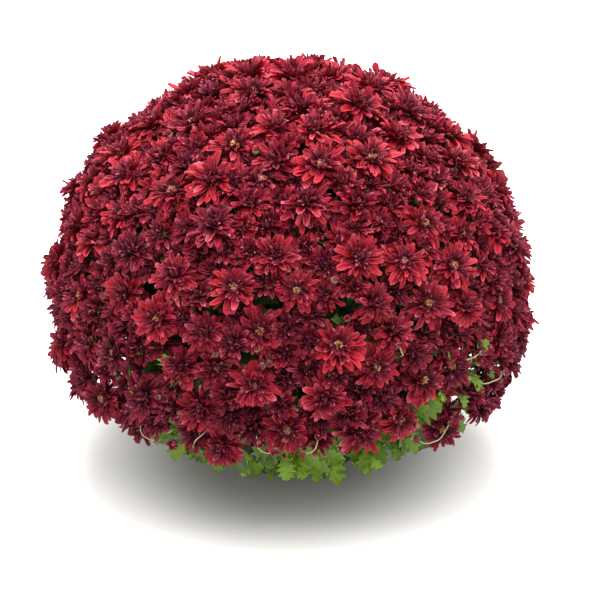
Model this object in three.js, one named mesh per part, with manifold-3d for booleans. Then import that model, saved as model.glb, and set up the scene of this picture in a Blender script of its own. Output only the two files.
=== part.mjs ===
// A potted garden chrysanthemum: a round cushion of crimson flowers on branched stems, in a plain pot.
// Millimetres, +Z up. The origin is the middle of the pot's flat base, and -Y is the side that is seen.

import * as THREE from 'three';
import { ConvexGeometry } from 'three/addons/geometries/ConvexGeometry.js';
import { mergeVertices } from 'three/addons/utils/BufferGeometryUtils.js';
import Module from 'manifold-3d';

const wasm = await Module();
wasm.setup();

// Driving dimensions
const SEAT_GAP = 0.3;
const POT_HEIGHT = 130;
const POT_BASE_RADIUS = 78;
const POT_RIM_RADIUS = 109;
const POT_LIP_WIDTH = 3;
const POT_LIP_HEIGHT = 12;
const POT_WALL = 2.2;
const POT_SIDES = 28;
const DRAIN_HOLES = 8;
const DRAIN_RADIUS = 5;
const DRAIN_HEIGHT = 9;
const DRAIN_LENGTH = 24;
const SOIL_LEVEL = 120;
const SOIL_MOUND = 2.5;
const SOIL_MOUND_SHARE = 0.6;
const CROWN_RADIUS = 38;
const CROWN_DEPTH = 16;
const CROWN_RISE = 5;
const CROWN_FOOT_SHARE = 0.55;
const CROWN_BEVEL = 3;
const CROWN_SIDES = 14;
const CUSHION_CENTRE_Z = 165;
const CUSHION_RADIUS = 250;
const BLOOM_SHELL_RADIUS = 240;
const BLOOM_SHELL_SCATTER = 5;
const CUSHION_EDGE_COSINE = -0.22;
const FILL_EDGE_COSINE = -0.16;
const HEAD_RADIUS = 20;
const HEAD_SHARE_OF_GAP = 0.455;
const HEAD_DEPTH = 15;
const HEAD_CROWN = 4.5;
const HEAD_LIFT = 0.22;
const HEAD_TILT = 0.13;
const SEEN_HEAD_SPACING = 34;
const HEAD_SPACING = 42;
const PLACES_TRIED = 5000;
const STALK_SIDES = 5;
const PEDICEL_RADIUS = 1.4;
const PEDICEL_FOOT_RADIUS = 1;
const MAIN_STEMS = 10;
const MAIN_STEM_RADIUS = 4.2;
const MAIN_STEM_RING = 28;
const MAIN_STEM_STEPS = 4;
const SHOULDER_OUT_SHARE = 0.22;
const SHOULDER_UP_SHARE = 0.55;
const MAIN_STEM_REACH = 93;
const KNUCKLE_RADIUS = 6.5;
const LOWEST_STEM_SINE = -0.1;
const SPRAYS = 35;
const SPRAY_STALK_RADIUS = 2;
const STALK_SEAT_RADIUS = 2.4;
const SPRAY_HUB_RADIUS = 4.6;
const SPRAY_HUB_REACH = 156;
const LOWEST_HUB_SINE = -0.24;
const LEAF_PLACES = [0.6, 0.8];
const LEAF_FIRST_TURN = 0.4;
const LEAF_RISE = 1.8;
const LEAF_LENGTH = 40;
const LEAF_WIDTH = 20;
const LEAF_THICKNESS = 1.2;
const LEAF_WIDEST_AT = 0.42;
const LEAFY_SHOOTS = 12;
const SHOOT_RADIUS = 1.8;
const SHOOT_STEPS = 7;
const SHOOT_SIDES = 4;
const SHOOT_FOOT_RADIUS = 92;
const SHOOT_LEAF_WIDTH_SHARE = 0.62;

// The angle it is seen from, and where single flowers are seen, in pixels of a 600 by 600 frame
const VIEW_ELEVATION = THREE.MathUtils.degToRad(25);
const VIEW_DISTANCE = 1800;
const CUSHION_CENTRE_PX = [290, 300];
const CUSHION_RADIUS_PX = 243;
const FLOWERS_SEEN_PX = [
  // middle
  [262, 178], [321, 165], [370, 160], [306, 201], [359, 203], [215, 226], [276, 256], [358, 258],
  [234, 287], [297, 290], [345, 290], [251, 320], [315, 321], [205, 332], [338, 345], [396, 332],
  [220, 192], [331, 238], [374, 302],
  // left
  [176, 275], [122, 292], [68, 338], [114, 352], [173, 329], [215, 370], [180, 367], [145, 397],
  [78, 380], [104, 397], [164, 425], [59, 306], [78, 295], [199, 410], [62, 260], [132, 251],
  [85, 320],
  // bottom
  [255, 384], [289, 372], [325, 397], [287, 432], [362, 432], [222, 445], [377, 367], [350, 456],
  [378, 405],
  // right
  [455, 367], [502, 339], [425, 380], [401, 420], [450, 399], [507, 395], [442, 429], [479, 403],
  [511, 360], [428, 303], [403, 262], [452, 265], [463, 305], [425, 335], [466, 232], [500, 300],
  [510, 245], [520, 275], [424, 223],
  // upper left
  [172, 191], [111, 137], [162, 99], [97, 152], [152, 122], [86, 186], [127, 174], [160, 157],
  [193, 147], [121, 213], [80, 225],
  // top
  [302, 106], [253, 92], [359, 107], [211, 80], [226, 65], [256, 60], [315, 58], [341, 63],
  [277, 125], [192, 122], [315, 130], [234, 141], [387, 84], [221, 108],
  // upper right
  [400, 135], [441, 117], [446, 137], [428, 158], [426, 182], [465, 126], [477, 145], [454, 163],
  [495, 192], [464, 198], [392, 210], [508, 182], [390, 165],
];

const GOLDEN_ANGLE = Math.PI * (3 - Math.sqrt(5));
const UP = new THREE.Vector3(0, 0, 1);
const CENTRE = new THREE.Vector3(0, 0, CUSHION_CENTRE_Z);

// Repeatable scatter: the same numbers in the same order each time
let scatterState = 20817;
function scatter() {
  scatterState = (scatterState * 16807) % 2147483647;
  return scatterState / 2147483647;
}

function solidOf(geometry) {
  const bare = geometry.clone();
  bare.deleteAttribute('normal');
  bare.deleteAttribute('uv');
  const merged = mergeVertices(bare, 1e-4);
  const mesh = new wasm.Mesh({
    numProp: 3,
    vertProperties: new Float32Array(merged.attributes.position.array),
    triVerts: new Uint32Array(merged.index.array),
  });
  return new wasm.Manifold(mesh);
}

function geometryOf(solid) {
  const mesh = solid.getMesh();
  const geometry = new THREE.BufferGeometry();
  geometry.setAttribute('position', new THREE.BufferAttribute(new Float32Array(mesh.vertProperties), 3));
  geometry.setIndex(new THREE.BufferAttribute(new Uint32Array(mesh.triVerts), 1));
  geometry.computeVertexNormals();
  return geometry;
}

function joined(geometries) {
  return geometries.map(solidOf).reduce((sum, solid) => sum.add(solid));
}

// Two directions across a given one
function acrossFrame(direction) {
  const helper = Math.abs(direction.z) < 0.9 ? UP : new THREE.Vector3(1, 0, 0);
  const side = new THREE.Vector3().crossVectors(helper, direction).normalize();
  const other = new THREE.Vector3().crossVectors(direction, side);
  return [side, other];
}

// A corner of a ring: a regular polygon around a centre, across an axis
function ringCorner(ring, column, sides) {
  const angle = (2 * Math.PI * column) / sides;
  const point = ring.centre.clone();
  point.addScaledVector(ring.side, ring.radius * Math.sin(angle));
  point.addScaledVector(ring.other, -ring.radius * Math.cos(angle));
  return point;
}

// Rings that follow each other turn as little as they can
function alignRings(rings) {
  let [side] = acrossFrame(rings[0].axis);
  rings.forEach((ring) => {
    side = side.clone().addScaledVector(ring.axis, -side.dot(ring.axis)).normalize();
    ring.side = side;
    ring.other = new THREE.Vector3().crossVectors(ring.axis, side);
  });
  return rings;
}

// A closed stalk, cup or tip through rings, from first to last: a ring of radius 0 is a point
function loft(rings, sides) {
  alignRings(rings);
  const profile = rings.map((ring, row) => new THREE.Vector2(ring.radius, row));
  const geometry = new THREE.LatheGeometry(profile, sides);
  const position = geometry.attributes.position;
  for (let i = 0; i < position.count; i += 1) {
    const point = ringCorner(rings[i % rings.length], Math.floor(i / rings.length) % sides, sides);
    position.setXYZ(i, point.x, point.y, point.z);
  }
  return geometry;
}

// Rings along a curve, with a point before the first and after the last
function stemRings(curve, steps, radius, firstAxis) {
  const rings = [];
  for (let i = 0; i <= steps; i += 1) {
    const axis = i === 0 ? firstAxis : curve.getTangent(i / steps);
    rings.push({ centre: curve.getPoint(i / steps), axis, radius });
  }
  const [first, last] = [rings[0], rings[steps]];
  return [{ ...first, radius: 0 }, ...rings, { ...last, radius: 0 }];
}

// The ring where a round joint meets a stalk that leaves it along an axis
function seatRing(centre, axis, radius, jointRadius) {
  const height = Math.sqrt(jointRadius * jointRadius - radius * radius);
  return { centre: centre.clone().addScaledVector(axis, height), axis, radius };
}

// A joint of stems: a rounded knob with one flat face for each stalk
function joint(seats, sides) {
  const corners = [];
  seats.forEach((seat) => {
    alignRings([seat]);
    for (let column = 0; column < sides; column += 1) {
      corners.push(ringCorner(seat, column, sides));
    }
  });
  return new ConvexGeometry(corners);
}

// A leaf is a thin kite from its base to its tip
function leaf(base, direction, length, width) {
  const outline = new THREE.Shape();
  outline.moveTo(0, 0);
  outline.lineTo(LEAF_WIDEST_AT * length, -width / 2);
  outline.lineTo(length, 0);
  outline.lineTo(LEAF_WIDEST_AT * length, width / 2);
  const blade = new THREE.ExtrudeGeometry(outline, { depth: LEAF_THICKNESS, bevelEnabled: false });
  blade.translate(0, 0, -LEAF_THICKNESS / 2);
  const along = direction.clone().normalize();
  const across = new THREE.Vector3().crossVectors(UP, along).normalize();
  const face = new THREE.Vector3().crossVectors(along, across);
  blade.applyMatrix4(new THREE.Matrix4().makeBasis(along, across, face));
  blade.translate(base.x, base.y, base.z);
  return blade;
}

// Where a line of sight through a pixel meets the cushion, as a direction from its centre
function directionAtPixel([column, row], radius) {
  const focalLength = CUSHION_RADIUS_PX / Math.tan(Math.asin(CUSHION_RADIUS / VIEW_DISTANCE));
  const forward = new THREE.Vector3(0, Math.cos(VIEW_ELEVATION), -Math.sin(VIEW_ELEVATION));
  const upward = new THREE.Vector3(0, Math.sin(VIEW_ELEVATION), Math.cos(VIEW_ELEVATION));
  const eye = forward.clone().multiplyScalar(-VIEW_DISTANCE);
  const sight = forward.clone().multiplyScalar(focalLength);
  sight.x += column - CUSHION_CENTRE_PX[0];
  sight.addScaledVector(upward, CUSHION_CENTRE_PX[1] - row);
  sight.normalize();
  const nearest = -eye.dot(sight);
  const missSquared = eye.lengthSq() - nearest * nearest;
  const halfChord = Math.sqrt(Math.max(radius * radius - missSquared, 0));
  return eye.addScaledVector(sight, nearest - halfChord).normalize();
}

// Evenly spread directions over the cushion, from its top down to its edge
function spreadDirections(count, edgeCosine) {
  const directions = [];
  for (let i = 0; i < count; i += 1) {
    const z = 1 - ((i + 0.5) / count) * (1 - edgeCosine);
    const flat = Math.sqrt(1 - z * z);
    const azimuth = i * GOLDEN_ANGLE;
    directions.push(new THREE.Vector3(flat * Math.cos(azimuth), flat * Math.sin(azimuth), z));
  }
  return directions;
}

function nearestIndex(direction, choices) {
  let best = 0;
  choices.forEach((choice, i) => {
    if (direction.dot(choice) > direction.dot(choices[best])) {
      best = i;
    }
  });
  return best;
}

// Flower heads: those seen one by one first, then an even fill of the rest of the cushion
function headDirections() {
  const kept = [];
  const keepIfClear = (direction, spacing) => {
    const clear = kept.every((other) => other.distanceTo(direction) * BLOOM_SHELL_RADIUS >= spacing);
    if (clear && direction.z > CUSHION_EDGE_COSINE) {
      kept.push(direction);
    }
  };
  FLOWERS_SEEN_PX.forEach((pixel) => {
    keepIfClear(directionAtPixel(pixel, BLOOM_SHELL_RADIUS), SEEN_HEAD_SPACING);
  });
  spreadDirections(PLACES_TRIED, FILL_EDGE_COSINE).forEach((direction) => {
    keepIfClear(direction, HEAD_SPACING);
  });
  return kept;
}

// A head is as wide as its nearest neighbour lets it be, up to its full width
function headRadius(direction, directions) {
  const others = directions.filter((other) => other !== direction);
  const gaps = others.map((other) => other.distanceTo(direction));
  return Math.min(HEAD_RADIUS, HEAD_SHARE_OF_GAP * BLOOM_SHELL_RADIUS * Math.min(...gaps));
}

function flowerHead(direction, width) {
  const radius = BLOOM_SHELL_RADIUS + BLOOM_SHELL_SCATTER * (2 * scatter() - 1);
  const centre = CENTRE.clone().addScaledVector(direction, radius);
  const axis = direction.clone().addScaledVector(UP, HEAD_LIFT);
  axis.x += HEAD_TILT * (2 * scatter() - 1);
  axis.y += HEAD_TILT * (2 * scatter() - 1);
  axis.z += HEAD_TILT * (2 * scatter() - 1);
  axis.normalize();
  return { direction, centre, axis, width };
}

// A flower head on its pedicel: a slender stalk that opens into a shallow cup with a low crown
function headOnPedicel(head, hub) {
  const neck = head.centre.clone().addScaledVector(head.axis, -HEAD_DEPTH);
  const stalk = neck.clone().sub(hub).normalize();
  const top = head.centre.clone().addScaledVector(head.axis, HEAD_CROWN);
  const foot = seatRing(hub, stalk, PEDICEL_FOOT_RADIUS, SPRAY_HUB_RADIUS);
  const rings = [
    { centre: hub, axis: stalk, radius: 0 },
    foot,
    { centre: neck, axis: stalk.clone().add(head.axis).normalize(), radius: PEDICEL_RADIUS },
    { centre: head.centre, axis: head.axis, radius: head.width },
    { centre: top, axis: head.axis, radius: 0 },
  ];
  return { seat: foot, geometry: loft(rings, STALK_SIDES) };
}

const matte = (color, roughness) => new THREE.MeshStandardMaterial({ color, roughness, metalness: 0 });

function part(name, solid, material) {
  const mesh = new THREE.Mesh(geometryOf(solid), material);
  mesh.name = name;
  return mesh;
}

const numbered = (name, i) => `${name}_${String(i + 1).padStart(2, '0')}`;

// Pot: a tapered pan with a turned-out lip and drain holes low in its wall
function potRadiusAt(z) {
  return POT_BASE_RADIUS + ((POT_RIM_RADIUS - POT_BASE_RADIUS) * z) / POT_HEIGHT;
}

function potSolid() {
  const lipBottom = POT_HEIGHT - POT_LIP_HEIGHT;
  const profile = [
    [0, 0],
    [potRadiusAt(0), 0],
    [potRadiusAt(lipBottom), lipBottom],
    [potRadiusAt(lipBottom) + POT_LIP_WIDTH, lipBottom],
    [POT_RIM_RADIUS + POT_LIP_WIDTH, POT_HEIGHT - 1],
    [POT_RIM_RADIUS + POT_LIP_WIDTH - 1, POT_HEIGHT],
    [POT_RIM_RADIUS - POT_WALL, POT_HEIGHT],
    [potRadiusAt(POT_WALL) - POT_WALL, POT_WALL],
    [0, POT_WALL],
  ];
  const points = profile.map(([radius, z]) => new THREE.Vector2(radius, z));
  const shell = new THREE.LatheGeometry(points, POT_SIDES);
  shell.rotateX(Math.PI / 2);
  let solid = solidOf(shell);
  for (let i = 0; i < DRAIN_HOLES; i += 1) {
    const hole = new THREE.CylinderGeometry(DRAIN_RADIUS, DRAIN_RADIUS, DRAIN_LENGTH, 6);
    hole.rotateZ(Math.PI / 2);
    hole.translate(potRadiusAt(0), 0, DRAIN_HEIGHT);
    hole.rotateZ((2 * Math.PI * (i + 0.5)) / DRAIN_HOLES);
    solid = solid.subtract(solidOf(hole));
  }
  return solid;
}

// Crown: the woody foot that all the main stems grow from, sunk in the soil
function crownProfile(gap) {
  const top = SOIL_LEVEL + CROWN_RISE + gap;
  return [
    [0, SOIL_LEVEL - CROWN_DEPTH - gap],
    [CROWN_FOOT_SHARE * CROWN_RADIUS + gap, SOIL_LEVEL - CROWN_DEPTH - gap],
    [CROWN_RADIUS + gap, SOIL_LEVEL - CROWN_RISE],
    [CROWN_RADIUS + gap, top - CROWN_BEVEL],
    [CROWN_RADIUS - CROWN_BEVEL + gap, top],
    [0, top],
  ];
}

function crownSolid(gap) {
  const points = crownProfile(gap).map(([radius, z]) => new THREE.Vector2(radius, z));
  const geometry = new THREE.LatheGeometry(points, CROWN_SIDES);
  geometry.rotateX(Math.PI / 2);
  return solidOf(geometry);
}

// Soil: it fills the pot and rises a little towards the crown
const soilRadiusAt = (z) => potRadiusAt(z) - POT_WALL - SEAT_GAP;

function soilTopAt(radius) {
  const outer = soilRadiusAt(SOIL_LEVEL);
  const slope = SOIL_MOUND / ((1 - SOIL_MOUND_SHARE) * outer);
  return SOIL_LEVEL + Math.min(slope * (outer - radius), SOIL_MOUND);
}

function soilSolid() {
  const bottom = POT_WALL + SEAT_GAP;
  const profile = [
    [0, bottom],
    [soilRadiusAt(bottom), bottom],
    [soilRadiusAt(SOIL_LEVEL), SOIL_LEVEL],
    [SOIL_MOUND_SHARE * soilRadiusAt(SOIL_LEVEL), SOIL_LEVEL + SOIL_MOUND],
    [0, SOIL_LEVEL + SOIL_MOUND],
  ];
  const points = profile.map(([radius, z]) => new THREE.Vector2(radius, z));
  const geometry = new THREE.LatheGeometry(points, POT_SIDES);
  geometry.rotateX(Math.PI / 2);
  return solidOf(geometry).subtract(crownSolid(SEAT_GAP));
}

// A point in the cushion along a direction that dips no lower than a given sine
function pointInCushion(direction, lowestSine, reach) {
  const sine = Math.max(direction.z, lowestSine);
  const flat = Math.sqrt(1 - sine * sine);
  const azimuth = Math.atan2(direction.y, direction.x);
  const aim = new THREE.Vector3(flat * Math.cos(azimuth), flat * Math.sin(azimuth), sine);
  return CENTRE.clone().addScaledVector(aim, reach);
}

// Main stems: each bows out of the crown in its own upright plane and ends in a knuckle
function mainStemSolid(end, hubs) {
  const outward = new THREE.Vector3(end.x, end.y, 0).normalize();
  const foot = outward.clone().multiplyScalar(MAIN_STEM_RING).setZ(SOIL_LEVEL + CROWN_RISE + SEAT_GAP);
  const reach = end.clone().sub(foot);
  const shoulder = foot.clone().addScaledVector(outward, SHOULDER_OUT_SHARE * reach.dot(outward));
  shoulder.z = foot.z + SHOULDER_UP_SHARE * reach.z;
  const arrival = end.clone().sub(shoulder).normalize();
  const seats = hubs.map((hub) => {
    const axis = hub.clone().sub(end).normalize();
    return seatRing(end, axis, STALK_SEAT_RADIUS, KNUCKLE_RADIUS);
  });
  const tail = seatRing(end, arrival.clone().negate(), MAIN_STEM_RADIUS, KNUCKLE_RADIUS);
  const curve = new THREE.CatmullRomCurve3([foot, shoulder, tail.centre]);
  const rings = stemRings(curve, MAIN_STEM_STEPS, MAIN_STEM_RADIUS, UP);
  rings[rings.length - 1].centre = end;
  return joined([loft(rings, STALK_SIDES), joint([tail, ...seats], STALK_SIDES)]);
}

// Flower sprays: a stalk from a main stem's knuckle to a hub, then a pedicel to each head
// The stalk starts on its flat seat on the knuckle, a hair's breadth away
function sprayStalk(hub, stemEnd) {
  const axis = stemEnd.clone().sub(hub).normalize();
  const seat = seatRing(hub, axis, SPRAY_STALK_RADIUS, SPRAY_HUB_RADIUS);
  const knuckleFace = Math.sqrt(KNUCKLE_RADIUS ** 2 - STALK_SEAT_RADIUS ** 2);
  const foot = stemEnd.clone().addScaledVector(axis, -knuckleFace - SEAT_GAP);
  const rings = [
    { centre: hub, axis, radius: 0 },
    seat,
    { centre: foot, axis, radius: SPRAY_STALK_RADIUS },
    { centre: foot, axis, radius: 0 },
  ];
  return { seat, geometry: loft(rings, STALK_SIDES) };
}

function spraySolid(spray, stemEnd) {
  const pedicels = spray.heads.map((head) => headOnPedicel(head, spray.hub));
  const stalks = [sprayStalk(spray.hub, stemEnd), ...pedicels];
  const pieces = [joint(stalks.map((stalk) => stalk.seat), STALK_SIDES)];
  stalks.forEach((stalk) => pieces.push(stalk.geometry));
  const reach = spray.hub.clone().sub(stemEnd);
  const [side, other] = acrossFrame(reach.clone().normalize());
  LEAF_PLACES.forEach((place, i) => {
    const turn = LEAF_FIRST_TURN + (2 * Math.PI * i) / LEAF_PLACES.length;
    const spread = side.clone().multiplyScalar(Math.cos(turn)).addScaledVector(other, Math.sin(turn));
    const direction = spray.direction.clone().multiplyScalar(LEAF_RISE).add(spread);
    pieces.push(leaf(stemEnd.clone().addScaledVector(reach, place), direction, LEAF_LENGTH, LEAF_WIDTH));
  });
  return joined(pieces);
}

// Leafy shoots: they rise from the soil near the wall, pass over the lip and hang below the flowers
const SHOOT_COURSE = [
  // distance from the pot's axis, height
  [SHOOT_FOOT_RADIUS, soilTopAt(SHOOT_FOOT_RADIUS) + 2 * SEAT_GAP],
  [93, 127],
  [99, 133],
  [112, 135],
  [126, 126],
  [138, 104],
  [148, 80],
  [152, 66],
];
const SHOOT_LEAVES = [
  // place along the course, turn to the side in degrees, fall, length
  [0.66, 24, 0.2, 42],
  [0.72, -28, 0.35, 44],
  [0.84, 30, 0.6, 46],
  [0.9, -26, 0.75, 46],
  [0.97, 12, 1.1, 40],
];

function shootSolid(azimuth) {
  const outward = new THREE.Vector3(Math.cos(azimuth), Math.sin(azimuth), 0);
  const curve = new THREE.CatmullRomCurve3(
    SHOOT_COURSE.map(([radius, z]) => outward.clone().multiplyScalar(radius).setZ(z)),
  );
  const pieces = [loft(stemRings(curve, SHOOT_STEPS, SHOOT_RADIUS, UP), SHOOT_SIDES)];
  SHOOT_LEAVES.forEach(([place, turn, fall, length]) => {
    const direction = outward.clone().applyAxisAngle(UP, THREE.MathUtils.degToRad(turn)).setZ(-fall);
    pieces.push(leaf(curve.getPoint(place), direction, length, SHOOT_LEAF_WIDTH_SHARE * length));
  });
  return joined(pieces);
}

// Assembly
const plant = new THREE.Group();
plant.add(part('pot', potSolid(), matte(0x2b2c2b, 0.6)));
plant.add(part('potting_soil', soilSolid(), matte(0x2a1d14, 0.95)));
plant.add(part('root_crown', crownSolid(0), matte(0x6b5238, 0.85)));

const stemDirections = spreadDirections(MAIN_STEMS, CUSHION_EDGE_COSINE);
const stems = stemDirections.map((direction) => {
  const end = pointInCushion(direction, LOWEST_STEM_SINE, MAIN_STEM_REACH);
  return { end, hubs: [] };
});
const sprayDirections = spreadDirections(SPRAYS, CUSHION_EDGE_COSINE);
const sprays = sprayDirections.map((direction) => {
  const stem = stems[nearestIndex(direction, stemDirections)];
  const hub = pointInCushion(direction, LOWEST_HUB_SINE, SPRAY_HUB_REACH);
  stem.hubs.push(hub);
  return { direction, hub, stem, heads: [] };
});
headDirections().forEach((direction, i, directions) => {
  const head = flowerHead(direction, headRadius(direction, directions));
  sprays[nearestIndex(direction, sprayDirections)].heads.push(head);
});

stems.forEach((stem, i) => {
  plant.add(part(numbered('main_stem', i), mainStemSolid(stem.end, stem.hubs), matte(0x5f7040, 0.7)));
});
sprays.forEach((spray, i) => {
  plant.add(part(numbered('flower_spray', i), spraySolid(spray, spray.stem.end), matte(0x9c1226, 0.55)));
});
for (let i = 0; i < LEAFY_SHOOTS; i += 1) {
  const azimuth = (2 * Math.PI * (i + 0.5)) / LEAFY_SHOOTS;
  plant.add(part(numbered('leafy_shoot', i), shootSolid(azimuth), matte(0x5f8a34, 0.6)));
}

export default plant;
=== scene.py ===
import math

import bpy
import numpy as np
from mathutils import Matrix, Vector


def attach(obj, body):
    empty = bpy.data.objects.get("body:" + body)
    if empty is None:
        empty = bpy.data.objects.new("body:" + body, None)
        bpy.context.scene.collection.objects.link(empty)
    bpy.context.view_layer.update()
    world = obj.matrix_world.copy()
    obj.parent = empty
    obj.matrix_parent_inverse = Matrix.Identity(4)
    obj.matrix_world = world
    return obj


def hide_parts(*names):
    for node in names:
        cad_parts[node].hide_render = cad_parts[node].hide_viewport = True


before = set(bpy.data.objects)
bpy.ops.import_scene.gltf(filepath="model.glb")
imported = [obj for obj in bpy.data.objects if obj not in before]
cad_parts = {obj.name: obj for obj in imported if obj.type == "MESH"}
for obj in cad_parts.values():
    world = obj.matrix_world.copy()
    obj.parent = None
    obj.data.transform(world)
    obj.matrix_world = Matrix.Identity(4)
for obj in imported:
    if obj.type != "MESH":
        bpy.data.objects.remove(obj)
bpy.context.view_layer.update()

MM = 0.001
rng = np.random.default_rng(411)

# Sizes shared with the construction: the cushion, its stems and where the flowers sit
CUSHION_CENTRE = np.array([0.0, 0.0, 165 * MM])
CUSHION_RADIUS = 250 * MM
BLOOM_SHELL_RADIUS = 240 * MM
BLOOM_SHELL_SCATTER = 5 * MM
SCATTER_SEED = 20817
CUSHION_EDGE_COSINE = -0.22
FILL_EDGE_COSINE = -0.16
HEAD_LIFT = 0.22
HEAD_TILT = 0.13
HEAD_SPACING = 42 * MM
PLACES_TRIED = 5000
MAIN_STEMS = 10
MAIN_STEM_RADIUS = 4.2 * MM
MAIN_STEM_RING = 28 * MM
MAIN_STEM_REACH = 93 * MM
SHOULDER_OUT_SHARE = 0.22
SHOULDER_UP_SHARE = 0.55
LOWEST_STEM_SINE = -0.1
SPRAYS = 35
SPRAY_HUB_REACH = 156 * MM
LOWEST_HUB_SINE = -0.24
LEAFY_SHOOTS = 12
CROWN_TOP = 125 * MM
GOLDEN_ANGLE = math.pi * (3 - math.sqrt(5))
UP = np.array([0.0, 0.0, 1.0])

# The view, and what is seen at single places, in pixels of a 600 by 600 frame
IMAGE_SIZE = 600
VIEW_ELEVATION = math.radians(25)
VIEW_DISTANCE = 1.8
CUSHION_CENTRE_PX = (290, 300)
CUSHION_RADIUS_PX = 243
FOCAL_PX = CUSHION_RADIUS_PX / math.tan(math.asin(CUSHION_RADIUS / VIEW_DISTANCE))
FLOWERS_SEEN_PX = [
    (262, 178), (321, 165), (370, 160), (306, 201), (359, 203), (215, 226), (276, 256), (358, 258),
    (234, 287), (297, 290), (205, 332), (338, 345), (396, 332), (374, 302), (176, 275), (122, 292),
    (68, 338), (114, 352), (215, 370), (180, 367), (145, 397), (78, 380), (104, 397), (59, 306),
    (78, 295), (199, 410), (62, 260), (132, 251), (255, 384), (325, 397), (287, 432), (362, 432),
    (222, 445), (377, 367), (455, 367), (502, 339), (425, 380), (401, 420), (442, 429), (479, 403),
    (511, 360), (428, 303), (403, 262), (452, 265), (463, 305), (466, 232), (500, 300), (510, 245),
    (520, 275), (424, 223), (172, 191), (111, 137), (162, 99), (152, 122), (86, 186), (127, 174),
    (160, 157), (193, 147), (121, 213), (80, 225), (302, 106), (253, 92), (359, 107), (211, 80),
    (256, 60), (315, 58), (277, 125), (192, 122), (315, 130), (234, 141), (387, 84), (400, 135),
    (441, 117), (446, 137), (428, 158), (477, 145), (454, 163), (495, 192), (464, 198),
]
# Bulges of the cushion at its outline, with their heights
SWELLS_PX = [((496, 172), 7 * MM), ((92, 152), 8 * MM)]
SWELL_SPREAD = 0.2
BUDS_SEEN_PX = [
    (128, 377), (178, 398), (102, 296), (95, 275), (119, 324), (269, 286), (382, 252), (390, 314),
    (256, 151), (294, 151), (231, 201), (316, 405), (308, 364), (389, 404), (269, 365), (260, 66),
    (445, 182), (403, 186), (424, 103), (412, 236), (383, 250), (92, 340), (103, 352), (401, 409),
    (260, 441), (268, 450), (284, 455), (304, 452), (313, 445), (318, 436), (232, 449), (341, 450),
]
SMALL_FLOWERS_SEEN_PX = [
    (508, 372), (505, 387), (499, 399), (127, 424), (137, 430), (519, 345), (452, 420),
]
STEMS_SEEN_PX = [
    # points along a thin pale stem, its bud at the last one
    [(424, 447), (436, 441), (446, 430), (449, 423)],
    [(466, 366), (472, 358), (480, 353)],
    [(487, 384), (496, 380), (503, 373)],
    [(134, 420), (141, 432), (152, 440), (160, 438)],
    [(252, 437), (258, 447), (266, 453), (272, 452)],
    [(321, 437), (316, 447), (309, 453), (303, 452)],
    [(270, 440), (272, 446), (276, 449)],
    [(204, 433), (196, 440), (193, 447)],
    [(404, 360), (401, 351), (398, 345)],
]
# Gaps between the flowers that leaves fill
LEAF_GAPS_PX = [
    (96, 356), (143, 366), (153, 379), (470, 352), (474, 366), (481, 381), (486, 394), (430, 407),
    (442, 418), (421, 422), (452, 436),
]
# Leaves that reach out between the flowers, up to their faces
FRONT_LEAVES_PX = [
    (469, 350), (472, 360), (476, 369), (481, 378), (484, 389), (477, 392), (432, 406), (441, 415),
    (424, 418), (98, 359), (150, 372), (128, 374),
]
# Leaves that hang out below the lowest flowers
HANGING_LEAVES_PX = [
    (149, 434), (158, 441), (167, 449), (177, 441), (172, 432), (270, 462), (284, 464), (297, 470),
    (306, 463), (321, 466), (334, 463), (246, 464), (437, 440), (450, 436),
]
# Leaves that show only a little
LEAVES_SEEN_PX = [
    (170, 245), (426, 302), (422, 310), (458, 243), (490, 228), (510, 262), (278, 73), (241, 109),
    (415, 150), (330, 232), (345, 241), (285, 345), (345, 350), (228, 402), (210, 300), (190, 262),
    (500, 236), (470, 315), (390, 345), (130, 335), (490, 318), (170, 396), (137, 422), (72, 355),
]


def unit(v):
    return v / np.linalg.norm(v, axis=-1, keepdims=True)


# Repeatable scatter, the same as the construction's
class Scatter:
    def __init__(self, state):
        self.state = state

    def signed(self):
        self.state = (self.state * 16807) % 2147483647
        return 2 * self.state / 2147483647 - 1


def direction_at_pixel(pixel, radius):
    """Where a line of sight meets the cushion, as a direction from its centre."""
    forward = np.array([0, math.cos(VIEW_ELEVATION), -math.sin(VIEW_ELEVATION)])
    upward = np.array([0, math.sin(VIEW_ELEVATION), math.cos(VIEW_ELEVATION)])
    eye = -VIEW_DISTANCE * forward
    sight = FOCAL_PX * forward + (CUSHION_CENTRE_PX[1] - pixel[1]) * upward
    sight[0] += pixel[0] - CUSHION_CENTRE_PX[0]
    sight = unit(sight)
    nearest = -eye @ sight
    miss_squared = eye @ eye - nearest * nearest
    half_chord = math.sqrt(max(radius * radius - miss_squared, 0))
    return unit(eye + (nearest - half_chord) * sight)


def spread_directions(count, edge_cosine):
    """Directions spread evenly over the cushion, from its top down to its edge."""
    i = np.arange(count)
    z = 1 - (i + 0.5) / count * (1 - edge_cosine)
    flat = np.sqrt(1 - z * z)
    return np.stack([flat * np.cos(i * GOLDEN_ANGLE), flat * np.sin(i * GOLDEN_ANGLE), z], 1)


def seen_directions(pixels):
    return [direction_at_pixel(pixel, BLOOM_SHELL_RADIUS) for pixel in pixels]


def keep_clear(kept, tried, spacing, edge_cosine=CUSHION_EDGE_COSINE, others=()):
    """Adds the tried directions that stay a spacing clear of those kept and of the others."""
    for direction in tried:
        near = np.array(list(kept) + list(others)).reshape(-1, 3)
        gaps = np.linalg.norm(near - direction, axis=1) * BLOOM_SHELL_RADIUS
        if direction[2] > edge_cosine and (len(gaps) == 0 or gaps.min() >= spacing):
            kept.append(direction)
    return kept


def point_in_cushion(direction, lowest_sine, reach):
    sine = max(direction[2], lowest_sine)
    flat = math.sqrt(1 - sine * sine)
    azimuth = math.atan2(direction[1], direction[0])
    return CUSHION_CENTRE + reach * np.array([flat * math.cos(azimuth), flat * math.sin(azimuth), sine])


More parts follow.
